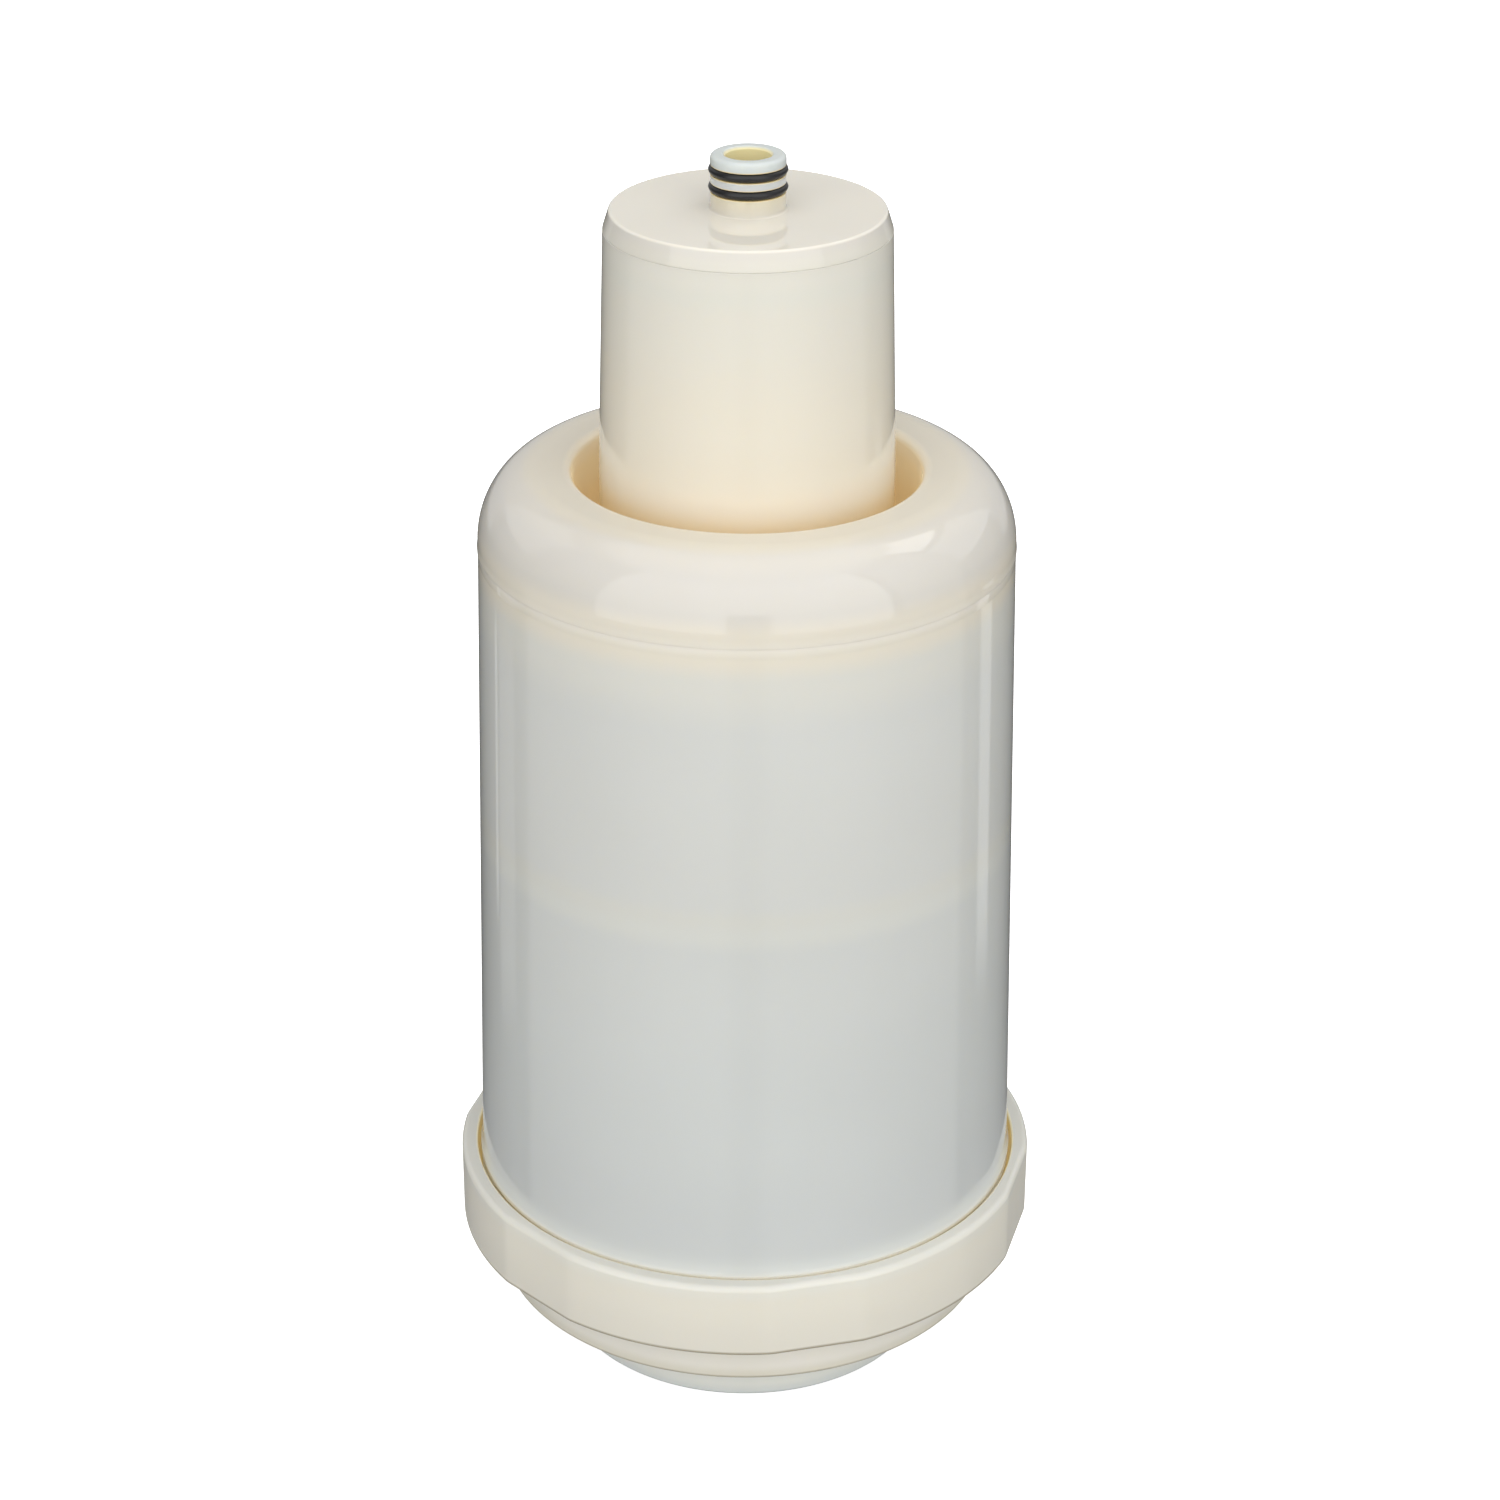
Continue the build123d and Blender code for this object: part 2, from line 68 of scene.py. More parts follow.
# Polypropylene: how it bends light, and how far red, green and blue spread inside it
POLYPROPYLENE_IOR = 1.49
POLYPROPYLENE_SPREAD = (1.0, 0.85, 0.6)

Piece = bpy.types.Object
Material = bpy.types.Material
Node = bpy.types.Node
Socket = bpy.types.NodeSocket
Tree = bpy.types.NodeTree
Colour = tuple[float, float, float, float]
Stops = tuple[tuple[float, str], ...]

log = logging.getLogger("cartridge")


# ---- Measures from the frame -------------------------------------------------


@dataclass(frozen=True)
class Extent:
    """Reach of a CAD node about the cartridge's axis, in millimetres."""

    bottom: float
    top: float
    radius: float

    @classmethod
    def of(cls, node: str) -> "Extent":
        """Reads a node's reach from the frame.

        Args:
            node: name of the CAD node.

        Returns:
            Its lowest and highest level and its largest radius.
        """
        low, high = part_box(node)
        return cls(low.z / MM, high.z / MM, max(high.x, high.y) / MM)


def linear(hex_colour: str) -> Colour:
    """Turns an sRGB hex colour to the linear one that a shader takes.

    Args:
        hex_colour: six hex digits, such as "e8e0d0".

    Returns:
        Linear red, green and blue, and an alpha of 1.
    """
    channels = [int(hex_colour[i : i + 2], 16) / 255 for i in (0, 2, 4)]
    light = [c / 12.92 if c <= 0.04045 else ((c + 0.055) / 1.055) ** 2.4 for c in channels]
    return light[0], light[1], light[2], 1.0


# ---- Turning on the lathe ----------------------------------------------------


def pick(piece: Piece) -> None:
    """Selects one piece and makes it the active one."""
    bpy.ops.object.select_all(action="DESELECT")
    piece.select_set(True)
    bpy.context.view_layer.objects.active = piece


def apply_modifier(piece: Piece, kind: str, **settings: object) -> None:
    """Puts a modifier with these settings on a piece and applies it."""
    modifier = piece.modifiers.new(kind.lower(), kind)
    for name, value in settings.items():
        setattr(modifier, name, value)
    pick(piece)
    bpy.ops.object.modifier_apply(modifier=modifier.name)


@dataclass
class Section:
    """Half-section of a turned piece: radius and height of each corner, with the round on it."""

    corners: list[tuple[float, float, float]] = field(default_factory=list)
    round_steps: int = 5

    def to(self, radius: float, height: float, round_off: float = 0.0) -> "Section":
        """Adds a corner, rounded off by that radius."""
        self.corners.append((radius, height, round_off))
        return self

    def ellipse(
        self,
        centre: tuple[float, float],
        reach: float,
        rise: float,
        start: float,
        end: float,
        steps: int,
    ) -> "Section":
        """Adds an elliptical stretch.

        Args:
            centre: radius and height of the ellipse's centre.
            reach: half-axis across.
            rise: half-axis up.
            start: angle of its first point in degrees, 0 outwards and 90 up.
            end: angle of its last point.
            steps: number of chords.

        Returns:
            The section itself.
        """
        for step in range(steps + 1):
            angle = math.radians(start + (end - start) * step / steps)
            self.to(centre[0] + reach * math.cos(angle), centre[1] + rise * math.sin(angle))
        return self

    def points(self) -> list[tuple[float, float]]:
        """Works out the outline with its corners rounded off.

        Returns:
            Radius and height of each point, in order, in millimetres.
        """
        found: list[tuple[float, float]] = []
        count = len(self.corners)
        for index, (radius, height, round_off) in enumerate(self.corners):
            here = Vector((radius, height))
            if round_off <= 0:
                found.append((radius, height))
                continue
            before = Vector(self.corners[index - 1][:2]) - here
            after = Vector(self.corners[(index + 1) % count][:2]) - here
            half = before.angle(after) / 2
            reach = round_off / math.tan(half)
            inward = (before.normalized() + after.normalized()).normalized()
            centre = here + inward * (round_off / math.sin(half))
            first = here + before.normalized() * reach - centre
            last = here + after.normalized() * reach - centre
            sweep = first.angle_signed(last)
            for step in range(self.round_steps + 1):
                spoke = first.copy()
                spoke.rotate(Matrix.Rotation(-sweep * step / self.round_steps, 2))
                found.append(tuple(centre + spoke))
        return found


class Lathe:
    """Turns a piece: a ring is drawn out and scaled from point to point, and closed on itself."""

    def __init__(self, name: str, radius: float, height: float, segments: int) -> None:
        """Starts a piece from one ring.

        Args:
            name: the piece's name.
            radius: the first ring's radius in millimetres.
            height: its height in millimetres.
            segments: vertices in each ring.
        """
        self.segments = segments
        self.radius = radius
        self.height = height
        bpy.ops.object.select_all(action="DESELECT")
        bpy.ops.mesh.primitive_circle_add(
            vertices=segments, radius=radius * MM, location=(0, 0, height * MM)
        )
        self.piece = bpy.context.object
        self.piece.name = name
        self.piece.data.name = name
        bpy.ops.object.transform_apply(location=True)
        bpy.ops.object.mode_set(mode="EDIT")
        bpy.ops.mesh.select_all(action="SELECT")

    def draw(self, points: list[tuple[float, float]]) -> "Lathe":
        """Draws the last ring out through points of radius and height in millimetres."""
        for radius, height in points:
            bpy.ops.mesh.extrude_edges_move(
                TRANSFORM_OT_translate={"value": (0, 0, (height - self.height) * MM)}
            )
            scale = radius / self.radius
            bpy.ops.transform.resize(value=(scale, scale, 1), center_override=(0, 0, height * MM))
            self.radius, self.height = radius, height
        return self

    def press_flats(self, count: int, depth: float, facing: float) -> "Lathe":
        """Presses flats into the last ring.

        Args:
            count: number of flats, evenly spaced.
            depth: how deep each goes at its middle, in millimetres.
            facing: the angle from +X that one flat faces, in degrees.

        Returns:
            The lathe itself.
        """
        limit = (self.radius - depth) * MM
        bpy.ops.mesh.select_mode(type="VERT")
        for flat in range(count):
            turn = math.radians(facing + 360 * flat / count)
            self._turn_all(-turn)
            bpy.ops.mesh.select_all(action="DESELECT")
            mesh = bmesh.from_edit_mesh(self.piece.data)
            mesh.verts.ensure_lookup_table()
            for index in self._ring_indices(mesh):
                mesh.verts[index].select = mesh.verts[index].co.x > limit
            bmesh.update_edit_mesh(self.piece.data)
            bpy.ops.transform.resize(value=(0, 1, 1), center_override=(limit, 0, 0))
            self._turn_all(turn)
        self._select_ring()
        return self

    def _turn_all(self, angle: float) -> None:
        """Turns the whole mesh about the axis by that angle in radians."""
        bpy.ops.mesh.select_all(action="SELECT")
        bpy.ops.transform.rotate(value=-angle, orient_axis="Z", center_override=(0, 0, 0))

    def _ring_indices(self, mesh: bmesh.types.BMesh) -> range:
        """Gives the indices of the last ring's vertices."""
        return range(len(mesh.verts) - self.segments, len(mesh.verts))

    def _select_ring(self) -> None:
        """Selects the last ring and nothing else."""
        bpy.ops.mesh.select_mode(type="VERT")
        bpy.ops.mesh.select_all(action="DESELECT")
        mesh = bmesh.from_edit_mesh(self.piece.data)
        mesh.verts.ensure_lookup_table()
        for index in self._ring_indices(mesh):
            mesh.verts[index].select = True
        mesh.select_flush(True)
        bmesh.update_edit_mesh(self.piece.data)

    def close(self) -> Piece:
        """Bridges the last ring to the first.

        Returns:
            The finished piece, smooth but for its sharp edges.
        """
        bpy.ops.mesh.select_all(action="DESELECT")
        bpy.ops.mesh.select_non_manifold()
        bpy.ops.mesh.bridge_edge_loops()
        bpy.ops.mesh.select_all(action="SELECT")
        bpy.ops.mesh.normals_make_consistent(inside=False)
        bpy.ops.object.mode_set(mode="OBJECT")
        smooth(self.piece)
        return self.piece


def smooth(piece: Piece, angle: float = SMOOTH_ANGLE) -> None:
    """Shades a piece smooth across edges blunter than the angle, with its large faces left true."""
    pick(piece)
    bpy.ops.object.shade_smooth_by_angle(angle=angle)
    # The large faces keep their own normals, so a long wall mirrors straight up to its edge rounds
    apply_modifier(piece, "WEIGHTED_NORMAL", keep_sharp=True)


def turned(name: str, section: Section, segments: int = SEGMENTS) -> Piece:
    """Turns a closed section about the axis.

    Args:
        name: the piece's name.
        section: its half-section.
        segments: vertices in each ring.

    Returns:
        The piece.
    """
    points = section.points()
    return Lathe(name, *points[0], segments).draw(points[1:]).close()


def join_solid(piece: Piece, added: Piece) -> None:
    """Joins a second solid to a piece, and removes it as an object of its own."""
    apply_modifier(piece, "BOOLEAN", operation="UNION", solver="EXACT", object=added)
    bpy.data.objects.remove(added)


@dataclass(frozen=True)
class ThreadRidge:
    """One-start ridge of a right-hand thread."""

    pitch: float = 4.0
    height: float = 4.4
    foot: float = 1.0
    flank: float = 0.3
    sunk: float = 0.3
    steps_per_turn: int = 120
    run_out: float = 20.0

    def build(self, name: str, wall: float, depth: float, start: float) -> Piece:
        """Sweeps the ridge up its helix, with both ends run out into the wall.

        Args:
            name: the ridge's name.
            wall: radius of the wall it stands on.
            depth: how far it stands out, negative for a ridge that points inwards.
            start: level of its lower end.

        Returns:
            The ridge as a closed solid.
        """
        side = math.copysign(1, depth)
        crest = self.foot - self.flank
        corners = (
            (wall - side * self.sunk, -self.foot),
            (wall, -self.foot),
            (wall + depth, -crest),
            (wall + depth, crest),
            (wall, self.foot),
            (wall - side * self.sunk, self.foot),
        )
        bpy.ops.object.select_all(action="DESELECT")
        bpy.ops.mesh.primitive_circle_add(vertices=len(corners), radius=MM, fill_type="NGON")
        ridge = bpy.context.object
        ridge.name = name
        bpy.ops.object.mode_set(mode="EDIT")
        mesh = bmesh.from_edit_mesh(ridge.data)
        for vertex, (radius, rise) in zip(mesh.verts, corners):
            vertex.co = Vector((radius, 0, start + rise)) * MM
        bmesh.update_edit_mesh(ridge.data)
        turns = self.height / self.pitch
        steps = round(turns * self.steps_per_turn)
        turn = math.tau * turns / steps
        bpy.ops.mesh.select_all(action="SELECT")
        for step in range(steps):
            bpy.ops.mesh.extrude_region_move(
                TRANSFORM_OT_translate={"value": (0, 0, self.height * MM / steps)}
            )
            bpy.ops.transform.rotate(value=-turn, orient_axis="Z", center_override=(0, 0, 0))
        bpy.ops.mesh.select_all(action="SELECT")
        bpy.ops.mesh.normals_make_consistent(inside=False)
        bpy.ops.object.mode_set(mode="OBJECT")
        self._run_out(ridge, wall - side * self.sunk / 2, depth, steps, len(corners))
        return ridge

    def _run_out(
        self, ridge: Piece, wall: float, depth: float, steps: int, corners: int
    ) -> None:
        """Sinks both ends of the ridge into its wall over the run-out angle."""
        rings = max(1, round(self.run_out / 360 * self.steps_per_turn))
        for index, vertex in enumerate(ridge.data.vertices):
            ring = index // corners
            share = min(1.0, ring / rings, (steps - ring) / rings)
            radius = math.hypot(vertex.co.x, vertex.co.y)
            above = radius - wall * MM
            if above * depth > 0:
                sunk = wall * MM + above * share
                vertex.co.x *= sunk / radius
                vertex.co.y *= sunk / radius


# ---- Finishes ----------------------------------------------------------------


def feed(node: Node, inputs: dict[str | int, object]) -> None:
    """Feeds a node's inputs, by name or number, each with a value or with another node's socket."""
    for key, value in inputs.items():
        if isinstance(value, Socket):
            node.id_data.links.new(value, node.inputs[key])
        else:
            node.inputs[key].default_value = value


def add_node(tree: Tree, kind: str, inputs: dict | None = None, **settings: object) -> Node:
    """Adds a node with its settings, its input values and its links.

    Args:
        tree: the node tree it goes in.
        kind: the node's type, such as "ShaderNodeTexNoise".
        inputs: what feeds its inputs.
        settings: the node's own properties.

    Returns:
        The node.
    """
    node = tree.nodes.new(kind)
    for name, value in settings.items():
        setattr(node, name, value)
    feed(node, inputs or {})
    return node


def mix_colours(
    tree: Tree,
    share: Socket,
    first: Colour | Socket,
    second: Colour | Socket,
    label: str = "",
) -> Socket:
    """Mixes two colours.

    Args:
        tree: the node tree.
        share: 0 for the first colour and 1 for the second.
        first: the first colour, or its socket.
        second: the second.
        label: the node's label.

    Returns:
        The mixed colour's socket.
    """
    inputs = {"Factor": share, 6: first, 7: second}
    return add_node(tree, "ShaderNodeMix", inputs, data_type="RGBA", label=label).outputs[2]


def ramp(
    tree: Tree,
    source: Socket,
    stops: tuple[tuple[float, Colour], ...],
    unit: float = 1.0,
) -> Socket:
    """Colours a measure by stops.

    Args:
        tree: the node tree.
        source: the measure.
        stops: places on it and the linear colour there, in rising order.
        unit: the places' unit, in the measure's own.

    Returns:
        The colour's socket.
    """
    low, high = stops[0][0], stops[-1][0]
    share = add_node(
        tree,
        "ShaderNodeMapRange",
        {"Value": source, "From Min": low * unit, "From Max": high * unit},
    )
    node = add_node(tree, "ShaderNodeValToRGB", {"Fac": share.outputs["Result"]})
    node.color_ramp.interpolation = "EASE"
    elements = node.color_ramp.elements
    for index, (place, colour) in enumerate(stops):
        position = (place - low) / (high - low)
        element = elements[index] if index in (0, 1) else elements.new(position)
        element.position = position
        element.color = colour
    return node.outputs["Color"]


def height_ramp(tree: Tree, height: Socket, stops: Stops) -> Socket:
    """Colours the height over the floor by stops of millimetres and sRGB colour."""
    return ramp(tree, height, tuple((place, linear(shade)) for place, shade in stops), MM)


def noise(tree: Tree, place: Socket, size: float, detail: float) -> Socket:
    """Makes noise.

    Args:
        tree: the node tree.
        place: where on the object.
        size: the size of its features in millimetres.
        detail: how many finer layers it has.

    Returns:
        The noise's socket.
    """
    inputs = {"Vector": place, "Scale": 1 / (size * MM), "Detail": detail}
    return add_node(tree, "ShaderNodeTexNoise", inputs).outputs["Fac"]


def map_range(
    tree: Tree,
    value: Socket,
    source: tuple[float, float],
    target: tuple[float, float],
) -> Socket:
    """Maps a value from one range to another.

    Args:
        tree: the node tree.
        value: the value's socket.
        source: the range it comes in.
        target: the range it goes out in.

    Returns:
        The mapped value's socket.
    """
    inputs = {
        "Value": value,
        "From Min": source[0],
        "From Max": source[1],
        "To Min": target[0],
        "To Max": target[1],
    }
    return add_node(tree, "ShaderNodeMapRange", inputs).outputs["Result"]


def new_material(name: str) -> tuple[Material, Node, Socket]:
    """Starts a material.

    Args:
        name: the material's name.

    Returns:
        The material, its shader, and the socket of the place on the object.
    """
    material = bpy.data.materials.new(name)
    material.use_nodes = True
    tree = material.node_tree
    place = add_node(tree, "ShaderNodeTexCoord").outputs["Object"]
    return material, tree.nodes["Principled BSDF"], place


class Polish(Enum):
    """How the mould's wall was finished, as the moulded surface's roughness."""

    MIRROR = 0.02
    GLOSS = 0.05
    SATIN = 0.22


@dataclass(frozen=True)
class MouldedPlastic:
    """Injection-moulded polypropylene, milky and lit from within, with faint marks of its moulding.

    The stops give its colour up the height. The blend stops, if any, take over inside the first
    blend radius and fade out by the second. The painted glow, if any, is painted light: an emission
    of the blend colour there. Lengths are millimetres.
    """

    name: str
    stops: Stops
    polish: Polish = Polish.GLOSS
    scatter: float = 0.25
    scatter_depth: float = 2.5
    blend_stops: Stops = ()
    blend_radii: tuple[float, float] = (0.0, 1.0)
    painted_glow: float = 0.0
    draw_mark: float = 0.9
    draw_stretch: float = 50.0
    draw_rise: float = 0.012
    draw_share: tuple[float, float] = (0.3, 0.75)
    ripple: float = 14.0
    ripple_rise: float = 0.012
    cloud: float = 45.0
    cloud_share: tuple[float, float] = (0.3, 0.7)
    tint: float = 0.03

    def build(self) -> Material:
        """Makes the material.

        Returns:
            The material.
        """
        material, shader, place = new_material(self.name)
        tree = material.node_tree
        height = add_node(tree, "ShaderNodeSeparateXYZ", {0: place}).outputs["Z"]
        colour = height_ramp(tree, height, self.stops)
        if self.blend_stops:
            share = self.radius_share(tree, place)
            inner = height_ramp(tree, height, self.blend_stops)
            colour = mix_colours(tree, share, inner, colour)
            if self.painted_glow:
                # Painted light: an emission that stands in for light coming through the wall from
                # outside, where the wall itself is in shade
                lit = mix_colours(tree, share, inner, (0.0, 0.0, 0.0, 1.0))
                feed(shader, {"Emission Color": lit, "Emission Strength": self.painted_glow})
        feed(
            shader,
            {
                "Base Color": self.clouded(tree, place, colour),
                "Roughness": self.roughness(tree, place),
                "Normal": self.rippled(tree, place),
                "IOR": POLYPROPYLENE_IOR,
                "Subsurface Weight": self.scatter,
                "Subsurface Radius": POLYPROPYLENE_SPREAD,
                "Subsurface Scale": self.scatter_depth * MM,
            },
        )
        return material

    def radius_share(self, tree: Tree, place: Socket) -> Socket:
        """Gives 0 inside the first blend radius and 1 outside the second."""
        flat = add_node(
            tree, "ShaderNodeVectorMath", {0: place, 1: (1, 1, 0)}, operation="MULTIPLY"
        )
        radius = add_node(
            tree, "ShaderNodeVectorMath", {0: flat.outputs[0]}, operation="LENGTH"
        )
        first, last = self.blend_radii
        inputs = {
            "Value": radius.outputs["Value"],
            "From Min": first * MM,
            "From Max": last * MM,
        }
        share = add_node(tree, "ShaderNodeMapRange", inputs, interpolation_type="SMOOTHSTEP")
        return share.outputs["Result"]

    def clouded(
        self,
        tree: Tree,
        place: Socket,
        colour: Socket,
    ) -> Socket:
        """Shifts the tint a little in broad soft clouds, where the melt flowed."""
        cloud = noise(tree, place, self.cloud, detail=2.0)
        shift = map_range(tree, cloud, self.cloud_share, (1 - self.tint, 1.0))
        shaded = add_node(
            tree, "ShaderNodeVectorMath", {0: colour, "Scale": shift}, operation="SCALE"
        )
        return shaded.outputs[0]

    def roughness(self, tree: Tree, place: Socket) -> Socket:
        """Roughens the gloss in fine draw marks along the mould's pull."""
        pulled = add_node(
            tree, "ShaderNodeMapping", {"Vector": place, "Scale": (1, 1, 1 / self.draw_stretch)}
        )
        streak = noise(tree, pulled.outputs["Vector"], self.draw_mark, detail=3.0)
        smoothest = self.polish.value
        return map_range(tree, streak, self.draw_share, (smoothest, smoothest + self.draw_rise))

    def rippled(self, tree: Tree, place: Socket) -> Socket:
        """Bends the wall, which is never quite flat over the ribs and the melt front."""
        wave = noise(tree, place, self.ripple, detail=1.0)
        inputs = {"Height": wave, "Strength": 1.0, "Distance": self.ripple_rise * MM}
        return add_node(tree, "ShaderNodeBump", inputs).outputs["Normal"]


@dataclass(frozen=True)
class GrainedFinish:
    """A colour broken up by grain of a real size: rubber, felt, granules, fibre and resin."""

    name: str
    colour: str
    dark: str
    grain: float
    grain_rise: float
    roughness: float
    detail: float = 4.0
    smoothest: float = 0.85
    roughest: float = 1.2
    sheen: float = 0.0
    scatter: float = 0.0
    cells: bool = False
    ior: float = 1.5

    def build(self) -> Material:
        """Makes the material.

        Returns:
            The material.
        """
        material, shader, place = new_material(self.name)
        tree = material.node_tree
        if self.cells:
            inputs = {"Vector": place, "Scale": 1 / (self.grain * MM)}
            height = add_node(tree, "ShaderNodeTexVoronoi", inputs).outputs["Distance"]
        else:
            height = noise(tree, place, self.grain, self.detail)
        rough = (self.roughness * self.smoothest, min(1.0, self.roughness * self.roughest))
        relief = {"Height": height, "Distance": self.grain_rise * MM}
        bump = add_node(tree, "ShaderNodeBump", relief, invert=self.cells)
        feed(
            shader,
            {
                "Base Color": mix_colours(tree, height, linear(self.dark), linear(self.colour)),
                "Roughness": map_range(tree, height, (0.0, 1.0), rough),
                "Normal": bump.outputs["Normal"],
                "IOR": self.ior,
                "Sheen Weight": self.sheen,
                "Subsurface Weight": self.scatter,
                "Subsurface Scale": MM,
            },
        )
        return material


def dress(piece: Piece, material: Material, body: str, slot: str, *nodes: str) -> None:
    """Gives a new piece its finish and its place in the frame.

    Args:
        piece: the new piece.
        material: its finish.
        body: the CAD body that it rides on.
        slot: the name of a material slot; not used.
        nodes: the CAD nodes that it stands for.
    """
    piece.data.materials.clear()
    piece.data.materials.append(material)
    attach(piece, body)
    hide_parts(*nodes)
    log.info("%s stands for %s: %d faces", piece.name, ", ".join(nodes), len(piece.data.polygons))


# ---- Outlet ------------------------------------------------------------------


@dataclass
class Outlet:
    """Cap over the neck with the outlet spigot and its two O-rings."""

    cap_height: float = 3.7
    cap_slope: float = 1.17
    cap_round: float = 0.6
    seam_round: float = 0.12
    skirt_rise: float = 1.7
    skirt_wall: float = 1.9
    neck_wall: float = 2.5
    spigot: float = 6.8
    bore: float = 4.1
    root_round: float = 0.6
    tip_round: float = 0.8
    lead_in: float = 0.5
    groove: float = 1.3
    groove_width: float = 1.7
    groove_round: float = 0.08
    ring_section: float = 0.8
    flash: float = 0.03
    flash_width: float = 0.12
    ring_steps: int = 28

    def build_cap(self) -> Piece:
        """Turns the cap and spigot.

        Returns:
            The piece.
        """
        cap = Extent.of("outlet_cap")
        seam = Extent.of("neck_sleeve").top
        top = seam + self.cap_height
        skirt = cap.radius - self.neck_wall
        section = Section()
        section.to(self.bore, seam + self.skirt_rise, 0.2)
        section.to(skirt - self.skirt_wall, seam, 0.3)
        section.to(skirt - self.skirt_wall, cap.bottom, 0.2)
        section.to(skirt, cap.bottom, 0.3)
        section.to(skirt, seam)
        section.to(cap.radius, seam, self.seam_round)
        section.to(cap.radius - self.cap_slope, top, self.cap_round)
        section.to(self.spigot, top, self.root_round)
        for ring in ("lower_o_ring", "upper_o_ring"):
            middle = self.ring_level(ring)
            for level, radius in (
                (middle - self.groove_width / 2, self.spigot),
                (middle - self.groove_width / 2, self.spigot - self.groove),
                (middle + self.groove_width / 2, self.spigot - self.groove),
                (middle + self.groove_width / 2, self.spigot),
            ):
                section.to(radius, level, self.groove_round)
        section.to(self.spigot, cap.top, self.tip_round)
        section.to(self.bore + self.lead_in, cap.top, 0.15)
        section.to(self.bore, cap.top - self.lead_in, 0.15)
        return turned("spigot_cap", section)

    def build_ring(self, node: str) -> Piece:
        """Turns one O-ring, with the thin flash of its mould round the outside.

        Args:
            node: the CAD node of the ring.

        Returns:
            The piece.
        """
        ring = Extent.of(node)
        centre = ring.radius - self.ring_section
        gap = math.degrees(math.asin(self.flash_width / 2 / self.ring_section))
        body = self.ring_section - self.flash
        section = Section()
        level = self.ring_level(node)
        edge = self.flash_width / 3
        section.ellipse((centre, level), body, body, gap, 360 - gap, self.ring_steps)
        section.to(ring.radius, level - edge)
        section.to(ring.radius, level + edge)
        return turned(f"spigot_{node}", section, RING_SEGMENTS)

    def ring_level(self, node: str) -> float:
        """Gives the level of an O-ring's middle in millimetres."""
        ring = Extent.of(node)
        return (ring.bottom + ring.top) / 2

    def finish(self) -> Material:
        """Gives the cap's finish: polished ivory polypropylene, paler up the thin spigot, with
        painted light along the O-rings and a painted highlight on the top face.

        Returns:
            The material.
        """
        cap = Extent.of("outlet_cap")
        lower, upper = self.ring_level("lower_o_ring"), self.ring_level("upper_o_ring")
        reach = self.groove_width / 2
        top = Extent.of("neck_sleeve").top + self.cap_height
        # Painted light: a warm line along each O-ring, where light pools in the thin lips of the
        # two grooves
        painted_glow, land, nose = "f9dfa2", "cfd1d0", "d6dcda"
        stops = (
            (cap.bottom, "eae4cc"),
            # Painted highlight: the top face paler than the rim's side below it, changing sharply
            # at the rim's round
            (top - 2.5, "e4e0d4"),
            (top - 0.6, "e1ddd4"),
            (top - 0.1, "f1ece0"),
            (top + 0.3, "ddd7c8"),
            (lower - reach - 0.3, "dbd3bd"),
            (lower - reach + 0.05, painted_glow),
            (lower + reach - 0.05, painted_glow),
            (lower + reach + 0.3, land),
            (upper - reach - 0.3, land),
            (upper - reach + 0.05, painted_glow),
            (upper + reach - 0.05, painted_glow),
            (upper + reach + 0.35, nose),
            (cap.top, nose),
        )
        return MouldedPlastic(
            "ivory_polypropylene_polished",
            stops,
            Polish.MIRROR,
            blend_stops=((cap.bottom, "e6d796"), (cap.top, "f2e8ba")),
            blend_radii=(self.bore + 0.05, self.bore + self.lead_in),
            scatter_depth=2.0,
        ).build()

    def dress(self) -> None:
        """Builds the outlet's pieces and dresses them."""
        dress(self.build_cap(), self.finish(), "cartridge", "ivory_polypropylene", "outlet_cap")
        # Nitrile rubber, moulded and lightly greased: near black, with a soft broad sheen
        rubber = GrainedFinish(
            "nitrile_rubber", "17171b", "0c0c10", 0.25, 0.006, 0.34, ior=1.52
        ).build()
        for node in ("upper_o_ring", "lower_o_ring"):
            dress(self.build_ring(node), rubber, "cartridge", "nitrile_rubber", node)


# ---- Neck and shoulder -------------------------------------------------------


